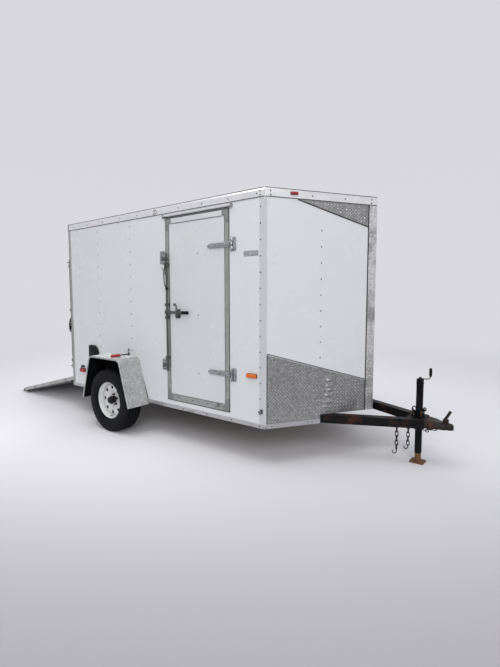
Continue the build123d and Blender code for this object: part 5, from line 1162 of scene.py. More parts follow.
for hinge, height in (("lower", 0.770), ("upper", 1.940)):
    bpy.ops.object.select_all(action="DESELECT")
    bpy.ops.mesh.primitive_grid_add(x_subdivisions=strap_steps, y_subdivisions=12, size=1.0)
    strap = bpy.context.object
    for vertex in strap.data.vertices:
        x, half, thick = strap_rows[round((vertex.co.x + 0.5) * strap_steps)]
        turn = math.pi * (vertex.co.y + 0.5)
        vertex.co = (x, -HALF - DOOR_FACE - thick * math.sin(turn) ** 0.8, height - half * math.cos(turn))
    walled = strap.modifiers.new("thick", "SOLIDIFY")
    walled.thickness = 0.003
    walled.offset = 0.0
    settle(strap)
    knuckle = pin_bar(height - KNUCKLE_HALF, height + KNUCKLE_HALF, 0.0088, 20)
    neck_low = (PIN_X - 0.03, -HALF - 0.0085, height - 0.0180)
    neck = plate(neck_low, (PIN_X - 0.004, -HALF - 0.0035, height + 0.0180), 0.001)
    strap_out = DOOR_FACE + 0.0160
    strap_bolts = [on_face("right", PIN_X - back, height, strap_out) for back in (0.075, 0.165, 0.235)]
    strap_pieces = [strap, knuckle, neck, copied(rivet_head(0.0075, 0.004), strap_bolts)]
    strap_piece = hand_over(
        joined(strap_pieces), "hinge_strap_" + hinge, strap_metal, "side_door", 50.0
    )
    butt_plate = pad(0.046, 0.122, 0.010, 0.0062, on_face("right", PIN_X + 0.024, height), 0.0014)
    bolt_ups = (-0.047, -0.020, 0.020, 0.047)
    butt_bolts = [on_face("right", PIN_X + 0.028, height + up, 0.005) for up in bolt_ups]
    butt_pieces = [butt_plate, copied(rivet_head(0.0065, 0.0045), butt_bolts)]
    for low, high in ((height + 0.0205, height + 0.059), (height - 0.059, height - 0.0205)):
        butt_pieces.append(pin_bar(low, high, 0.0092, 20))
        wing_low = (PIN_X, -HALF - 0.0085, low + 0.0005)
        butt_pieces.append(plate(wing_low, (PIN_X + 0.012, -HALF - 0.001, high - 0.0005), 0.001))
    butt_pieces.append(pin_bar(height - 0.064, height + 0.064, 0.0042, 12))
    butt_piece = hand_over(joined(butt_pieces), "hinge_butt_" + hinge, strap_metal, "root", 50.0)
    if hinge == "upper":
        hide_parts("hinge_straps")
        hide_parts("hinge_butts")

# Door lock: a long round bar over the back stile, turned by a flat handle, with cams in keepers on the
# wall at both ends. It is galvanised steel gone dark, with the handle end dipped in black plastic.
dull_zinc = weathered_and_sheened(
    "dull_zinc", (0.12, 0.122, 0.122), (0.07, 0.05, 0.04), 12.0, 0.53, 0.2, 0.42,
    metallic=0.7, fine=60.0, mottle=0.35,
)
dress(("door_lock", "lock_keepers", "rear_lock_bars"), dull_zinc)
ROD_X, ROD_Y = 0.49834, -0.9364
HANDLE_Z = 1.319
HASP_X = 0.652


def on_rod(along, out, up):
    """A place by the lock's bar: forward of it, out from it and up from the handle."""
    return (ROD_X + along, ROD_Y - out, HANDLE_Z + up)


def by_hasp(along, out, up):
    """A place by the hasp: forward of it, out from the wall and up from the handle."""
    return (HASP_X + along, -HALF - out, HANDLE_Z + up)


handle_pieces = [
    plate(on_rod(-0.018, 0.018, -0.020), on_rod(0.018, -0.010, 0.020), 0.005),
    plate(on_rod(0.010, 0.014, -0.0135), on_rod(0.245, 0.002, 0.0135), 0.004),
    round_bar(on_rod(0.0, 0.0, -0.040), on_rod(0.0, 0.0, 0.040), 0.0125, 20, 0.002),
]
handle_piece = hand_over(joined(handle_pieces), "door_handle", dull_zinc, "side_door")
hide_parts("door_latch")
grip = plate(on_rod(0.222, 0.018, -0.016), on_rod(0.312, -0.002, 0.016), 0.007, 3)
hand_over(grip, "door_handle_grip", grip_rubber, "side_door")
hasp_bend = (
    by_hasp(-0.004, 0.003, -0.046),
    by_hasp(-0.004, 0.030, -0.050),
    by_hasp(0.0, 0.038, -0.020),
    by_hasp(0.0, 0.038, 0.030),
    by_hasp(-0.006, 0.038, 0.072),
    by_hasp(-0.026, 0.036, 0.088),
    by_hasp(-0.042, 0.030, 0.070),
)
hasp_pieces = [
    pad(0.040, 0.090, 0.006, 0.003, on_face("right", HASP_X, HANDLE_Z - 0.012, 0.0004), 0.0008),
    bent_rod(hasp_bend, 0.0075),
    plate(by_hasp(-0.014, 0.041, -0.046), by_hasp(0.014, 0.032, 0.030), 0.003),
]
hand_over(joined(hasp_pieces), "door_hasp", dull_zinc, "side_door")

# Keeper fittings: each wall keeper is bolted on over a ribbed plate. A white plastic guide sits under the
# upper one, and a black coated stay is clamped to the bar below it.
keeper_bolts = []
for height in (0.775, 1.855):
    keeper_bolts += [on_face("right", 0.4453, height + up, 0.004) for up in (-0.047, 0.047)]
hand_over(copied(rivet_head(0.006, 0.004), keeper_bolts), "keeper_bolts", rivet_metal, "root")
keeper_plates = []
for height, wide, tall in ((1.872, 0.072, 0.128), (0.775, 0.060, 0.112)):
    keeper_x = 0.4585 - wide / 2
    keeper_plates.append(pad(wide, tall, 0.006, 0.004, on_face("right", keeper_x, height, 0.0010), 0.0008))
    for up in (-0.40, -0.14, 0.14, 0.40):
        rib_z = height + up * tall
        rib_low = (keeper_x - wide * 0.42, -HALF - 0.016, rib_z - 0.004)
        keeper_plates.append(plate(rib_low, (keeper_x + wide * 0.30, -HALF - 0.004, rib_z + 0.004), 0.002))
hand_over(joined(keeper_plates), "keeper_plates", strap_metal, "root")
guide_plastic = weathered_and_sheened(
    "guide_plastic", (0.72, 0.72, 0.71), (0.30, 0.29, 0.26), 40.0, 0.52, 0.15, 0.5, mottle=0.15
)
guide = plate((0.418, -HALF - 0.020, 1.745), (0.4610, -HALF - 0.001, 1.800), 0.005)
guide_tail = plate((0.424, -HALF - 0.015, 1.700), (0.4590, -HALF - 0.001, 1.736), 0.005)
hand_over(joined([guide, guide_tail]), "keeper_guide", guide_plastic, "root")
stay_bend = (
    (ROD_X + 0.006, ROD_Y - 0.013, 1.800),
    (ROD_X - 0.024, ROD_Y - 0.010, 1.740),
    (ROD_X - 0.028, ROD_Y - 0.009, 1.660),
    (ROD_X - 0.018, ROD_Y - 0.010, 1.600),
    (ROD_X + 0.004, ROD_Y - 0.013, 1.565),
)
stay_pieces = [bent_rod(stay_bend, 0.0042)]
for low, high in ((1.786, 1.816), (1.545, 1.572)):
    stay_pieces.append(round_bar((ROD_X, ROD_Y, low), (ROD_X, ROD_Y, high), 0.0145, 20, 0.003))
hand_over(joined(stay_pieces), "lock_rod_stay", grip_rubber, "side_door")

# Hold-back: a small turned stud and wire eye on the bottom rail of the door, and its catch, a second stud,
# on the wall at the corner strip. The first stands on a flat foot, and two screws hold the second.
HOLD_X, HOLD_Z = DOOR_FRONT - 0.135, 0.456
CATCH_X, CATCH_Z = NOSE_X - 0.030, 0.482
hold_y = -HALF - DOOR_FACE
eye_bend = (
    (HOLD_X - 0.012, hold_y - 0.006, HOLD_Z + 0.010),
    (HOLD_X - 0.010, hold_y - 0.010, HOLD_Z + 0.030),
    (HOLD_X + 0.010, hold_y - 0.010, HOLD_Z + 0.030),
    (HOLD_X + 0.012, hold_y - 0.006, HOLD_Z + 0.010),
)
hold_pieces = [
    pad(0.034, 0.034, 0.008, 0.003, on_face("right", HOLD_X, HOLD_Z, DOOR_FACE), 0.0008),
    round_bar((HOLD_X, hold_y - 0.002, HOLD_Z), (HOLD_X, hold_y - 0.030, HOLD_Z), 0.0075, 16, 0.001),
    round_bar((HOLD_X, hold_y - 0.028, HOLD_Z), (HOLD_X, hold_y - 0.040, HOLD_Z), 0.011, 16, 0.002),
    bent_rod(eye_bend, 0.0028),
]
hand_over(joined(hold_pieces), "door_hold_back", strap_metal, "side_door")
catch_screws = [on_face("right", CATCH_X, CATCH_Z + up, 0.006) for up in (-0.015, 0.015)]
catch_pieces = [
    round_bar((CATCH_X, -HALF - 0.006, CATCH_Z), (CATCH_X, -HALF - 0.034, CATCH_Z), 0.0085, 16, 0.001),
    round_bar((CATCH_X, -HALF - 0.030, CATCH_Z), (CATCH_X, -HALF - 0.036, CATCH_Z), 0.013, 16, 0.002),
    copied(rivet_head(0.0038, 0.0024), catch_screws),
]
hand_over(joined(catch_pieces), "wall_catch_stud", strap_metal, "root")

# Drip rail: a small rolled aluminium gutter over the door, with a dark line under it, sealant darkened as
# painted shadow of the rail, and a bright turned-down clip at each end.
(drip_back, drip_out, drip_foot), (drip_front, drip_wall, drip_top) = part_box("drip_rail")
drip_ends = []
for x in (drip_back + 0.006, drip_front - 0.006):
    clip_low = (x - 0.010, drip_out - 0.003, drip_foot - 0.012)
    drip_ends.append(plate(clip_low, (x + 0.008, drip_wall - 0.0015, drip_top), 0.003))
hand_over(joined(drip_ends), "drip_rail_ends", strap_metal, "root")
# Sealant with painted shadow: a dark strip under the rail.
drip_seal_low = (drip_back + 0.01, drip_wall - 0.004, drip_foot - 0.006)
drip_seal_and_shadow = plate(drip_seal_low, (drip_front - 0.01, drip_wall - 0.0005, drip_foot + 0.002), 0.001)
hand_over(drip_seal_and_shadow, "drip_rail_seal_and_shadow", sealant_and_shadow, "root")

# Tyres: radial trailer tyres with four grooves round the tread, small blocks across the shoulders, a
# smooth black sidewall with two raised rings, and a bead inside the rim. Dust greys them in patches.
WHEEL_X = (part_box("hub_right")[0][0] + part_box("hub_right")[1][0]) / 2
WHEEL_Y, WHEEL_Z = 1.0755, 0.344
BLOCKS = 96
BLOCK_LEAN = 0.42
# Dark rubber, also used for painted shade in the wheels and on the wall under the fenders.
tyre_rubber = weathered_and_sheened(
    "tyre_rubber", (0.00495, 0.0055, 0.00715), (0.0156, 0.0156, 0.0168), 8.0, 0.54, 0.25, 0.6,
    bump=0.15, fine=90.0, mottle=0.3, specular=0.12,
)


def turned(profile, sides, closed=False):
    """A piece turned about the wheel's axis: x and y as across and radius, centred on the axis."""
    count = len(profile)
    edges = [(index, (index + 1) % count) for index in range(count if closed else count - 1)]
    piece = from_points("turned", [(0.0, across, radius) for across, radius in profile], edges, [])
    screw = piece.modifiers.new("round", "SCREW")
    screw.axis = "Y"
    screw.angle = math.radians(360.0)
    screw.steps = screw.render_steps = sides
    screw.use_merge_vertices = True
    screw.merge_threshold = MERGE
    return faced_out(settle(piece))


tyre_profile = [
    # across, radius
    (0.068, 0.2000),
    (0.078, 0.1985),
    (0.086, 0.2040),
    (0.0935, 0.2160),
    (0.0960, 0.2185),
    (0.0985, 0.2240),
    (0.1010, 0.2420),
    (0.1020, 0.2600),
    (0.1022, 0.2660),
    (0.1030, 0.2690),
    (0.1022, 0.2720),
    (0.1015, 0.2900),
    (0.0990, 0.3080),
    (0.0970, 0.3130),
    (0.0965, 0.3190),
    (0.0930, 0.3290),
    (0.0880, 0.3355),
    (0.0800, 0.3392),
    (0.0620, 0.3420),
]
for groove in (0.058, 0.020):
    tyre_profile += [
        (groove + 0.0040, 0.3427),
        (groove + 0.0030, 0.3350),
        (groove - 0.0030, 0.3350),
        (groove - 0.0040, 0.3432),
    ]
tyre_profile.append((0.0, 0.3438))
tyre_profile += [(-across, radius) for across, radius in reversed(tyre_profile[:-1])]
for side_name, side in SIDES:
    axle_place = Matrix.Translation((WHEEL_X, side * WHEEL_Y, WHEEL_Z))
    tyre = turned(tyre_profile, 112)
    tyre.data.transform(axle_place)
    tyre_name, wheel_body = "tyre_" + side_name, "wheel_" + side_name
    tyre_piece = hand_over(tyre, tyre_name + "_rubber", tyre_rubber, wheel_body, 40.0)
    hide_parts(tyre_name)
    block = plate((-0.00625, -0.015, -0.0021), (0.00625, 0.015, 0.0021))
    block_places = []
    for step in range(BLOCKS):
        turn = Matrix.Rotation(2 * math.pi * step / BLOCKS, 4, "Y")
        for edge in (-1, 1):
            lean = Matrix.Rotation(-edge * BLOCK_LEAN, 4, "X")
            shoulder = Matrix.Translation((0, edge * 0.0800, 0.3359)) @ lean
            block_places.append(axle_place @ turn @ shoulder)
    blocks = copied(block, block_places)
    hand_over(blocks, tyre_name + "_shoulder_blocks", tyre_rubber, wheel_body)

# Rims: white painted steel, a rolled barrel with a deep dished disc welded in, eight round holes, and five
# studs with nuts round the hub. Brake dust and road film dull the dish, and rust shows at the nuts. A dark
# ring behind the holes is painted shade, standing for the shaded inside of the barrel.
HOLES, HOLE_CIRCLE = 8, 0.1390
NUTS, NUT_CIRCLE = 5, 0.0570
rim_white = weathered_and_sheened(
    "rim_white", (0.70, 0.70, 0.69), (0.24, 0.20, 0.16), 13.0, 0.60, 0.14, 0.35, fine=70.0, mottle=0.12
)
rim_barrel_profile = (
    (0.0775, 0.1965),
    (0.0790, 0.2010),
    (0.0775, 0.2050),
    (0.0740, 0.2055),
    (0.0700, 0.2000),
    (0.0650, 0.1950),
    (0.0480, 0.1910),
    (0.0400, 0.1800),
    (-0.0400, 0.1800),
    (-0.0620, 0.1930),
    (-0.0740, 0.2040),
    (-0.0765, 0.2040),
    (-0.0765, 0.2000),
    (-0.0630, 0.1885),
    (-0.0400, 0.1755),
    (0.0415, 0.1755),
    (0.0500, 0.1870),
    (0.0660, 0.1905),
    (0.0720, 0.1940),
)
rim_disc_profile = (
    (0.0100, 0.0400),
    (0.0100, 0.0820),
    (0.0160, 0.0920),
    (0.0290, 0.1080),
    (0.0350, 0.1240),
    (0.0355, 0.1560),
    (0.0310, 0.1680),
    (0.0180, 0.1762),
    (0.0120, 0.1768),
    (0.0120, 0.1720),
    (0.0160, 0.1716),
    (0.0270, 0.1640),
    (0.0300, 0.1540),
    (0.0300, 0.1250),
    (0.0240, 0.1110),
    (0.0110, 0.0945),
    (0.0050, 0.0840),
    (0.0050, 0.0400),
)
painted_shade_ring_profile = ((0.0215, 0.1160), (0.0262, 0.1180), (0.0262, 0.1570), (0.0215, 0.1590))


def wheel_place(side):
    """The middle of a wheel, with +y of its pieces turned to the outside of the trailer."""
    place = Matrix.Translation((WHEEL_X, side * WHEEL_Y, WHEEL_Z))
    return place @ Matrix.Rotation(math.pi, 4, "Z") if side < 0 else place


def axle_bar(turn, circle, inner, outer, *shape):
    """A round bar along the wheel's axis, on a circle about it at a turn in radians."""
    x, z = circle * math.cos(turn), circle * math.sin(turn)
    return round_bar((x, inner, z), (x, outer, z), *shape)


for side_name, side in SIDES:
    wheel_body = "wheel_" + side_name
    barrel = turned(rim_barrel_profile, 96, closed=True)
    disc = turned(rim_disc_profile, 96, closed=True)
    hole_turns = [2 * math.pi * step / HOLES for step in range(HOLES)]
    cutter = joined([axle_bar(turn, HOLE_CIRCLE, -0.02, 0.08, 0.0205, 24) for turn in hole_turns])
    holes = disc.modifiers.new("holes", "BOOLEAN")
    holes.operation = "DIFFERENCE"
    holes.object = cutter
    settle(disc)
    bpy.data.objects.remove(cutter)
    rim_shell = joined([barrel, disc])
    # Painted shade: a black ring behind the holes.
    painted_shade_ring = turned(painted_shade_ring_profile, 64, closed=True)
    valve = round_bar((0.0, 0.030, -0.180), (0.0, 0.062, -0.176), 0.0042, 12, 0.001)
    nut_pieces = []
    for turn in [2 * math.pi * step / NUTS + 0.3 for step in range(NUTS)]:
        nut_pieces.append(axle_bar(turn, NUT_CIRCLE, 0.009, 0.014, 0.0135, 24, 0.001, 0.0115))
        nut_pieces.append(axle_bar(turn, NUT_CIRCLE, 0.013, 0.030, 0.0105, 6, 0.0012))
        nut_pieces.append(axle_bar(turn, NUT_CIRCLE, 0.028, 0.040, 0.0062, 12, 0.001))
    nuts = joined(nut_pieces)
    for part in (rim_shell, painted_shade_ring, valve, nuts):
        part.data.transform(wheel_place(side))
    rim_piece = hand_over(rim_shell, "rim_" + side_name + "_shell", rim_white, wheel_body)
    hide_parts("rim_" + side_name)
    hand_over(painted_shade_ring, "wheel_painted_shade_ring_" + side_name, tyre_rubber, wheel_body)
    hand_over(valve, "valve_" + side_name, grip_rubber, wheel_body)
    hand_over(nuts, "lug_nuts_" + side_name, spring_steel, wheel_body)

# Hubs: cast iron barrels painted black, with a pressed grease cap driven into the outer end. Oil and road
# dust have browned them in patches.
hub_black = weathered_and_sheened(
    "hub_black", (0.008, 0.008, 0.0085), (0.054, 0.036, 0.024), 22.0, 0.56, 0.14, 0.45,
    bump=0.3, fine=120.0, mottle=0.3, specular=0.2,
)
hub_profile = (
    (-0.1120, 0.0223),
    (-0.1120, 0.0380),
    (-0.1080, 0.0400),
    (0.0380, 0.0400),
    (0.0520, 0.0390),
    (0.0535, 0.0345),
    (0.0560, 0.0335),
    (0.0740, 0.0330),
    (0.0790, 0.0300),
    (0.0815, 0.0200),
    (0.0820, 0.0),
    (0.0320, 0.0),
    (0.0320, 0.0223),
)
for side_name, side in SIDES:
    hub = turned(hub_profile, 48, closed=True)
    hub.data.transform(wheel_place(side))
    hub_name, wheel_body = "hub_" + side_name, "wheel_" + side_name
    hub_piece = hand_over(hub, hub_name + "_casting", hub_black, wheel_body, 30.0)
    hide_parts(hub_name)

# Fenders: sheet aluminium with a fine tread, bent over the wheel, with a bright rolled bead round the open
# side and a dark coated inside. The weather has dulled the sheet.
fender_metal = weathered_and_sheened(
    "fender_metal", (0.40, 0.40, 0.39), (0.30, 0.30, 0.29), 3.0, 0.5, 0.3, 0.40,
    metallic=0.7, fine=30.0, mottle=0.15,
)
dress(("fenders",), fender_metal)
fender_low, fender_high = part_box("fenders")
FENDER_MIDDLE = (fender_low[0] + fender_high[0]) / 2
FENDER_TOP, FENDER_FOOT = fender_high[2], fender_low[2]
FENDER_HALF_TOP = 0.275
FOOT_SLOPE = ((fender_high[0] - fender_low[0]) / 2 - FENDER_HALF_TOP) / (FENDER_TOP - FENDER_FOOT)
FENDER_BEND = 0.070
OUTER_EDGE = -fender_low[1]
BAR_ROW, BAR_COLUMN = 0.011, 0.0205


def fender_line(inset, steps=7):
    """Points over the fender's arch from the rear foot to the front foot, set in by some distance."""
    lean = math.atan(FOOT_SLOPE)
    radius = FENDER_BEND - inset
    centre_x = FENDER_HALF_TOP - FENDER_BEND * math.tan((math.pi / 2 - lean) / 2)
    centre_z = FENDER_TOP - FENDER_BEND
    front = []
    for step in range(steps + 1):
        turn = math.pi / 2 - (math.pi / 2 - lean) * step / steps
        front.append((centre_x + radius * math.cos(turn), centre_z + radius * math.sin(turn)))
    foot_x = FENDER_HALF_TOP + FOOT_SLOPE * (FENDER_TOP - FENDER_FOOT) - math.cos(lean) * inset
    front.append((foot_x, FENDER_FOOT))
    rear = [(-x, z) for x, z in reversed(front)]
    return [(FENDER_MIDDLE + x, z) for x, z in rear + front]


def fender_bar_places(side):
    """Places of the raised bars over a fender's outer face, in rows along its arch."""
    found = []
    passed = 0.0
    outer_line = fender_line(0.0)
    for (x1, z1), (x2, z2) in zip(outer_line, outer_line[1:]):
        length = math.hypot(x2 - x1, z2 - z1)
        along = Vector((x2 - x1, 0.0, z2 - z1)) / length
        outward = Vector((-along.z, 0.0, along.x))
        basis = Matrix((along, outward.cross(along), outward)).transposed().to_4x4()
        for row in range(math.ceil(passed / BAR_ROW), math.floor((passed + length) / BAR_ROW) + 1):
            here = Vector((x1, 0.0, z1)) + along * (row * BAR_ROW - passed)
            turn = Matrix.Rotation(math.radians(45.0 if row % 2 else -45.0), 4, "Z")
            for column in range(12):
                across = HALF + 0.012 + (column + 0.5 * (row % 2)) * BAR_COLUMN
                if across <= OUTER_EDGE - 0.012:
                    spot = here + Vector((0.0, side * across, 0.0)) + outward * 0.0002
                    found.append(Matrix.Translation(spot) @ basis @ turn)
        passed += length
    return found


for side_name, side in SIDES:
    bead = bent_rod([(x, side * (OUTER_EDGE - 0.0040), z) for x, z in fender_line(0.0075)], 0.0080)
    hand_over(bead, "fender_bead_" + side_name, edge_aluminium, "root", 60.0)
    lining_line = fender_line(0.0048)
    count = len(lining_line)
    points = [(x, side * y, z) for y in (HALF + 0.004, OUTER_EDGE - 0.005) for x, z in lining_line]
    faces = [(index, index + 1, index + 1 + count, index + count) for index in range(count - 1)]
    lining = from_points("lining", points, [], faces)
    thick = lining.modifiers.new("thick", "SOLIDIFY")
    thick.thickness = 0.0006
    hand_over(settle(lining), "fender_lining_" + side_name, tyre_rubber, "root")
    # The fender's bars carry the same painted glints as those on the nose.
    fender_bars = copied(tread_pattern(), fender_bar_places(side))
    hand_over(fender_bars, "fender_tread_" + side_name, tread_bar, "root")

# Marker lamps: moulded lenses with ribs on black bases. Amber ones sit at the front of the sides; red ones
# at the rear of the sides, on the nose trim, on the header and on the rear posts.
LAMP_RIBS = (-0.27, 0.0, 0.27)


def lens(name, color, glow):
    """Translucent coloured plastic with fine ribs and dust in them, and a faint painted glow."""
    dust = [channel * 0.6 for channel in color]
    material = weathered_and_sheened(name, color, dust, 30.0, 0.58, 0.2, 0.18, mottle=0.15)
    shader = material.node_tree.nodes["Principled BSDF"]
    shader.inputs["Subsurface Weight"].default_value = 0.25
    shader.inputs["Subsurface Radius"].default_value = (0.02, 0.006, 0.003)
    # Painted light: the lens glows faintly in its own colour.
    shader.inputs["Emission Color"].default_value = (*color, 1.0)
    shader.inputs["Emission Strength"].default_value = glow
    return material


amber_lens = lens("amber_lens", (0.72, 0.16, 0.02), 0.05)
red_lens = lens("red_lens", (0.36, 0.02, 0.025), 0.03)
black_plastic = weathered_and_sheened(
    "black_plastic", (0.005, 0.005, 0.0055), (0.021, 0.0204, 0.0198), 20.0, 0.56, 0.2, 0.5,
    bump=0.2, fine=160.0, mottle=0.25, specular=0.15,
)


def lamp_lens(face, along, height, width, tall, out, depth):
    """A pillow-shaped lens standing on its base, with three ribs across it."""
    flat = Matrix.Identity(4)
    pieces = [pad(width, tall, min(width, tall) * 0.3, depth, flat, min(depth, tall) * 0.3, 5, 3)]
    for share in LAMP_RIBS:
        rib_place = Matrix.Translation((share * width, 0.0, depth - 0.0005))
        pieces.append(pad(0.003, tall * 0.72, 0.0012, 0.0012, rib_place))
    piece = joined(pieces)
    piece.data.transform(on_face(face, along, height, out))
    return piece


def lamp_base(face, along, height, width, tall, out):
    """A flat black foot a little wider than its lens."""
    return pad(width, tall, min(width, tall) * 0.3, 0.005, on_face(face, along, height, out), 0.001, 5)


bases, ambers, reds = [], [], []
for face in ("right", "left"):
    bases.append(lamp_base(face, NOSE_X - 0.133, 0.785, 0.114, 0.041, 0.0))
    ambers.append(lamp_lens(face, NOSE_X - 0.133, 0.785, 0.108, 0.036, 0.004, 0.017))
    bases.append(lamp_base(face, REAR_X + 0.237, 0.554, 0.120, 0.054, 0.0))
    reds.append(lamp_lens(face, REAR_X + 0.237, 0.550, 0.112, 0.044, 0.004, 0.017))
    bases.append(lamp_base(face, REAR_X + 0.237, 0.600, 0.085, 0.022, 0.0))
for face in ("nose_right", "nose_left"):
    bases.append(lamp_base(face, 0.265, TRIM_LOW + 0.044, 0.071, 0.026, 0.004))
    reds.append(lamp_lens(face, 0.265, TRIM_LOW + 0.044, 0.066, 0.022, 0.007, 0.016))
for across in (-0.15, 0.0, 0.15):
    bases.append(lamp_base("rear", across, TRIM_LOW - 0.062, 0.071, 0.026, 0.0))
    reds.append(lamp_lens("rear", across, TRIM_LOW - 0.062, 0.066, 0.022, 0.004, 0.015))
for across in (0.0574 - HALF, HALF - 0.0574):
    bases.append(lamp_base("rear", across, 0.780, 0.040, 0.150, 0.0))
    reds.append(lamp_lens("rear", across, 0.780, 0.036, 0.144, 0.003, 0.009))
hand_over(joined(bases), "lamp_bases", black_plastic, "root")
amber_piece = hand_over(joined(ambers), "amber_lenses", amber_lens, "root", 50.0)
red_piece = hand_over(joined(reds), "red_lenses", red_lens, "root", 50.0)
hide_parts("lamps_amber")
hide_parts("lamps_red")

# Fender lamps: a red lamp at the end of a short rubber covered stalk over each fender, fed by a black lead
# from a grommet in the wall. The lens is ribbed, and a little thinner at its end.
STALK_X, STALK_Z = WHEEL_X + 0.052, FENDER_TOP + 0.019
STALK_END, LENS_LONG = 0.122, 0.112


def by_stalk(side, out, up=0.0):
    """A place out from the wall on the line of a fender lamp's stalk, or above it."""
    return (STALK_X, side * (HALF + out), STALK_Z + up)


for side_name, side in SIDES:
    lead = ((0.004, 0.05), (0.014, 0.040), (0.012, 0.018), (0.012, 0.004))
    stalk_pieces = [
        round_bar(by_stalk(side, 0.001), by_stalk(side, STALK_END), 0.0062, 16, 0.001),
        round_bar(by_stalk(side, 0.001), by_stalk(side, 0.009), 0.0130, 20, 0.002),
        round_bar(by_stalk(side, 0.001, 0.05), by_stalk(side, 0.007, 0.05), 0.0115, 20, 0.002),
        bent_rod([by_stalk(side, out, up) for out, up in lead], 0.0026),
    ]
    stalk_name = "fender_lamp_stalk_" + side_name
    stalk_piece = hand_over(joined(stalk_pieces), stalk_name, black_plastic, "root")
    lens_ends = by_stalk(side, STALK_END), by_stalk(side, STALK_END + LENS_LONG)
    lens_pieces = [round_bar(*lens_ends, 0.0155, 28, 0.005, 0.0145)]
    for share in (0.35, 0.5, 0.65):
        rib = STALK_END + share * LENS_LONG
        lens_pieces.append(round_bar(by_stalk(side, rib), by_stalk(side, rib + 0.003), 0.0158, 28, 0.0005))
    hand_over(joined(lens_pieces), "fender_lamp_" + side_name, red_lens, "root")
    if side < 0:
        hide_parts("fender_lamps")

# Side vents: black moulded scoops that face back, with a rounded hood and slats in the open side. They are
# screwed to the walls.
HOOD_BEND = 0.085
vent_low, vent_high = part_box("side_vents")
vent_x = (vent_low[0] + vent_high[0]) / 2
half_x = (vent_high[0] - vent_low[0]) / 2
hood_outline = [(-half_x, 0.0), (half_x, 0.0)]
for step in range(9):
    turn = math.radians(90.0 * step / 8)
    bend_x, bend_z = HOOD_BEND * math.cos(turn), HOOD_BEND * math.sin(turn)
    hood_outline.append((half_x - HOOD_BEND + bend_x, 0.161 + bend_z))
hood_outline += [(-half_x + 0.012, 0.246), (-half_x, 0.234)]
for side_name, side in SIDES:
    place = face_matrix((vent_x, side * HALF, vent_low[2]), (-side, 0, 0), (0, side, 0))
    hood = hood_outline if side < 0 else [(-x, y) for x, y in reversed(hood_outline)]
    vent_pieces = [pressed(hood, 0.0245, place, 0.008, 3)]
    slat_y = side * (HALF + 0.0235)
    for step in range(5):
        slat_z = vent_low[2] + 0.035 + step * 0.036
        slat_low = (vent_x - half_x + 0.02, slat_y - 0.001, slat_z)
        slat_high = (vent_x + half_x - 0.03, slat_y + 0.0015, slat_z + 0.006)
        vent_pieces.append(plate(slat_low, slat_high, 0.001))
    vent_name = "side_vent_" + side_name
    vent_piece = hand_over(joined(vent_pieces), vent_name, black_plastic, "root", 50.0)
    if side < 0:
        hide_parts("side_vents")

# Rear frame: steel posts and header faced with white painted sheet. A dull aluminium angle runs down each
# rear corner of the body, held by a column of rivets.
rear_white = weathered_and_sheened(
    "rear_white", (0.66, 0.67, 0.68), (0.57, 0.565, 0.55), 1.8, 0.5, 0.35, 0.3, fine=12.0, mottle=0.04
)
dress(("rear_posts", "rear_header"), rear_white)
corner_tall, corner_middle = TRIM_LOW - BODY_FOOT, (TRIM_LOW + BODY_FOOT) / 2
trim_tall, trim_middle = TRIM_TOP - TRIM_LOW, (TRIM_LOW + TRIM_TOP) / 2
corner_angles = []
angle_rivets = []
for face, side in (("right", -1), ("left", 1)):
    for width, tall, place in (
        (0.042, corner_tall, on_face(face, REAR_X + 0.0215, corner_middle, 0.0004)),
        (0.012, corner_tall, on_face("rear", side * (HALF - 0.006), corner_middle, 0.0004)),
        (0.028, trim_tall - 0.006, on_face(face, REAR_X + 0.0125, trim_middle, 0.0036)),
    ):
        corner_angles.append(pad(width, tall, 0.002, 0.0018, place, 0.0004))
    angle_rivets += [on_face(face, REAR_X + 0.020, 2.23 - row * 0.158, 0.002) for row in range(12)]
hand_over(joined(corner_angles), "rear_corner_angles", frame_aluminium, "root")
hand_over(copied(rivet_head(0.0045), angle_rivets), "rear_corner_rivets", rivet_metal, "root")

# Roof trim lines: dark strips of painted shadow along the upper and lower edges of the rolled roof trim,
# and a dark joint of sealant where its two lengths meet on each side.
# Painted shadow along the trim's upper and lower edges.
trim_shadow_lines = []
for faces, start, finish in (
    (("right", "left"), REAR_X, NOSE_X - 0.002),
    (("nose_right", "nose_left"), 0.003, nose_length - 0.004),
):
    for face in faces:
        for height in (TRIM_LOW + 0.0030, TRIM_TOP - 0.0045):
            place = on_face(face, (start + finish) / 2, height, 0.0036)
            trim_shadow_lines.append(pad(finish - start, 0.0060, 0.0018, 0.0010, place, steps=2))
hand_over(joined(trim_shadow_lines), "roof_trim_shadow_lines", sealant_and_shadow, "root")
seam_places = [on_face(face, TRIM_SEAM, TRIM_LOW + 0.036, 0.0034) for face in ("right", "left")]
seam_lines = [pad(0.0050, 0.060, 0.001, 0.0012, place, steps=2) for place in seam_places]
hand_over(joined(seam_lines), "roof_trim_seams", sealant_and_shadow, "root")

# Doorway seal: a black rubber tube up both sides and over the head of the rear opening. The ramp closes
# against it.
DOORWAY_HALF = 0.8304
SEAL_LOW, SEAL_HIGH = 0.436, 2.097
seal_half, seal_x = DOORWAY_HALF - 0.010, REAR_X + 0.052
seal_path = (
    (seal_x, -seal_half, SEAL_LOW),
    (seal_x, -seal_half, SEAL_HIGH),
    (seal_x, seal_half, SEAL_HIGH),
    (seal_x, seal_half, SEAL_LOW),
)
rear_seal_pieces = [round_bar(*ends, 0.0085, 12) for ends in zip(seal_path, seal_path[1:])]
hand_over(joined(rear_seal_pieces), "rear_door_seal", sealant_and_shadow, "root")

# Ramp: an aluminium channel frame round a plywood panel. Its upper face is brown plywood with grip strips
# and screws, and its outer face is white sheet like the body.
ramp_metal = weathered_and_sheened(
    "ramp_metal", (0.50, 0.50, 0.49), (0.28, 0.25, 0.22), 8.0, 0.52, 0.22, 0.42,
    metallic=0.6, fine=40.0, mottle=0.2,
)
dress(("ramp_frame", "ramp_lip"), ramp_metal)


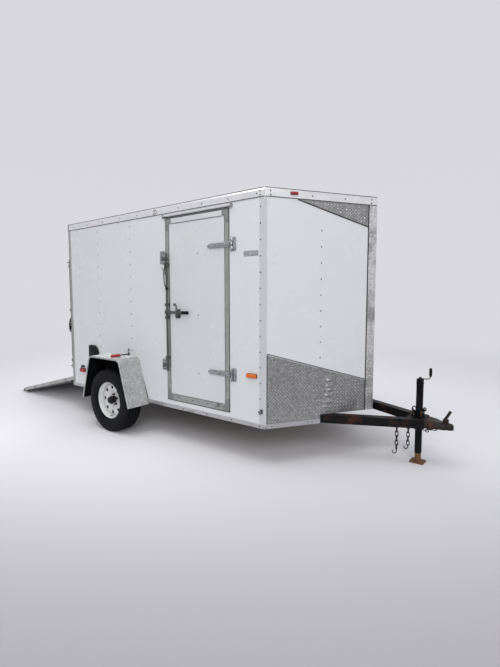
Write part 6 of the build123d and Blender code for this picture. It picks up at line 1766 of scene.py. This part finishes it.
def grain_group():
    """Long grain of plywood: a colour with darker bands, which are as long as the stretch is small."""
    group, given, put = new_group(
        "wood_grain",
        (("Color", "Color", (0.5, 0.4, 0.3, 1.0)), ("Stretch", "Vector", (1.2, 26.0, 26.0))),
        (("Color", "Color"),),
    )
    place = add_node(group, "TexCoord").outputs["Object"]
    stretched = add_node(group, "VectorMath", {0: place, 1: given["Stretch"]}, operation="MULTIPLY")
    grain_sockets = {"Vector": stretched.outputs[0], "Scale": 1.6, "Detail": 6.0}
    grain = add_node(group, "TexNoise", grain_sockets).outputs["Fac"]
    bands = ranged(group, grain, 0.35, 0.65, 0.72, 1.0)
    group.links.new(blended(group, 1.0, given["Color"], bands, "MULTIPLY"), put["Color"])
    return group


wood_grain = grain_group()


def wood(name, light, dark, roughness, stretch=(1.2, 26.0, 26.0)):
    """Plywood: long grain with darker bands and scuffs."""
    material = weathered_and_sheened(name, light, dark, 3.0, 0.5, 0.25, roughness, bump=0.3, fine=50.0, mottle=0.2)
    tree = material.node_tree
    color = tree.nodes["Principled BSDF"].inputs["Base Color"]
    grain_sockets = {"Color": color.links[0].from_socket, "Stretch": stretch}
    tree.links.new(add_node(tree, "Group", grain_sockets, node_tree=wood_grain).outputs["Color"], color)
    return material


ramp_ply = wood("ramp_ply", (0.36, 0.27, 0.19), (0.22, 0.18, 0.145), 0.6)
dress(("ramp_panel",), ramp_ply)
dress(("ramp_fittings",), dull_zinc)
RAMP_HINGE = Vector((REAR_X - 0.010, 0.0, 0.400))
RAMP_TOP = 0.046
ramp_angle = math.asin(0.399 / 1.700)
ramp_along = Vector((-math.cos(ramp_angle), 0.0, -math.sin(ramp_angle)))
ramp_up = Vector((-math.sin(ramp_angle), 0.0, math.cos(ramp_angle)))


def on_ramp(along, across, out):
    """A place on the ramp: along it from the hinge, across it, and up from the hinge's level in it."""
    here = RAMP_HINGE + ramp_along * along + Vector((0.0, across, 0.0)) + ramp_up * out
    basis = Matrix((ramp_along, ramp_up.cross(ramp_along), ramp_up)).transposed().to_4x4()
    return Matrix.Translation(here) @ basis


grip_places = [on_ramp(along, 0.0, RAMP_TOP - 0.0026) for along in (0.35, 0.72, 1.09, 1.46)]
grip_strips = [pad(0.030, 1.50, 0.004, 0.0016, place, 0.0004, 2) for place in grip_places]
hand_over(joined(grip_strips), "ramp_grip_strips", sealant_and_shadow, "ramp")
ramp_screws = []
for along in (0.06, 0.36, 0.66, 0.96, 1.26, 1.56):
    ramp_screws += [on_ramp(along, across, RAMP_TOP) for across in (-0.80, 0.80)]
for across in (-0.6, -0.3, 0.0, 0.3, 0.6):
    ramp_screws += [on_ramp(along, across, RAMP_TOP) for along in (0.045, 1.585)]
hand_over(copied(rivet_head(0.005), ramp_screws), "ramp_screws", rivet_metal, "ramp")
outer_sheet = pad(1.455, 1.548, 0.003, 0.0012, on_ramp(0.816, 0.0, 0.0012), steps=2)
hand_over(outer_sheet, "ramp_outer_sheet", rear_white, "ramp")

# Rear bar grips: black dipped grips on the handles of the two upright lock bars of the rear doorway. They
# are soft plastic over bar steel.
rear_grips = []
for y in (-0.8994, 0.8994):
    low, high = (REAR_X - 0.072, y - 0.014, 1.050), (REAR_X - 0.052, y + 0.014, 1.135)
    rear_grips.append(plate(low, high, 0.006, 3))
hand_over(joined(rear_grips), "rear_bar_grips", grip_rubber, "root")

# Interior: a plywood floor, plywood lining on the side walls with a seam at every second post, screwed to
# the posts, and steel bows across the bare roof sheet.
floor_ply = wood("floor_ply", (0.34, 0.25, 0.17), (0.20, 0.15, 0.11), 0.65)
dress(("floor",), floor_ply)
lining_ply = wood("lining_ply", (0.50, 0.39, 0.27), (0.38, 0.29, 0.20), 0.6, (26.0, 26.0, 1.2))
LINING_THICK = 0.0022
LINING_LOW, LINING_TOP = 0.4300, 2.334
INNER_Y = HALF - 0.032
POSTS = [REAR_X + bay * BAY for bay in range(1, 5)]


def lining_sheet(side, start, finish, low=LINING_LOW):
    """A sheet of lining on the inside of a side wall, between two places along it."""
    near, far = sorted((side * (INNER_Y - LINING_THICK), side * (INNER_Y - 0.0002)))
    return plate((start, near, low), (finish, far, LINING_TOP))


linings = []
lining_edges = (REAR_X + 0.062, POSTS[1], POSTS[3], NOSE_X - 0.012)
for start, finish in zip(lining_edges, lining_edges[1:]):
    linings.append(lining_sheet(1, start + 0.001, finish - 0.001))
    for low, high in ((start, min(finish, DOOR_BACK - 0.014)), (max(start, DOOR_FRONT + 0.014), finish)):
        if high - low > 0.02:
            linings.append(lining_sheet(-1, low + 0.001, high - 0.001))
linings.append(lining_sheet(-1, DOOR_BACK - 0.012, DOOR_FRONT + 0.012, DOOR_HIGH + 0.014))
hand_over(joined(linings), "wall_lining", lining_ply, "root")
bow_half = INNER_Y - 0.003
bows = [plate((x - 0.016, -bow_half, 2.318), (x + 0.016, bow_half, 2.3395), 0.002) for x in POSTS]
hand_over(joined(bows), "roof_bows", chassis_paint, "root")
lining_screws = []
for side in (-1, 1):
    for x in POSTS:
        if side < 0 and DOOR_BACK - 0.02 < x < DOOR_FRONT + 0.02:
            continue
        for row in range(6):
            spot = Matrix.Translation((x, side * (INNER_Y - LINING_THICK), 0.56 + row * 0.33))
            lining_screws.append(spot @ Matrix.Rotation(math.radians(90.0 * side), 4, "X"))
hand_over(copied(rivet_head(0.0045), lining_screws), "lining_screws", rivet_metal, "root")

# Wheel wells: a thin black sheet of painted shade, laid flat on the wall inside each fender in the outline
# of the fender's arch, where the wall lies in the fender's shadow.
# Painted shade: black sheets on the wall where it lies in the fender's shadow.
painted_shade_wells = []
for face, side in (("right", -1), ("left", 1)):
    arch = [(-side * x, max(z, BODY_FOOT + 0.0005)) for x, z in fender_line(0.006)[::-side]]
    painted_shade_wells.append(pressed(arch, 0.0012, FACES[face][0] @ Matrix.Translation((0.0, 0.0, 0.0002))))
hand_over(joined(painted_shade_wells), "wheel_well_painted_shade", tyre_rubber, "root")
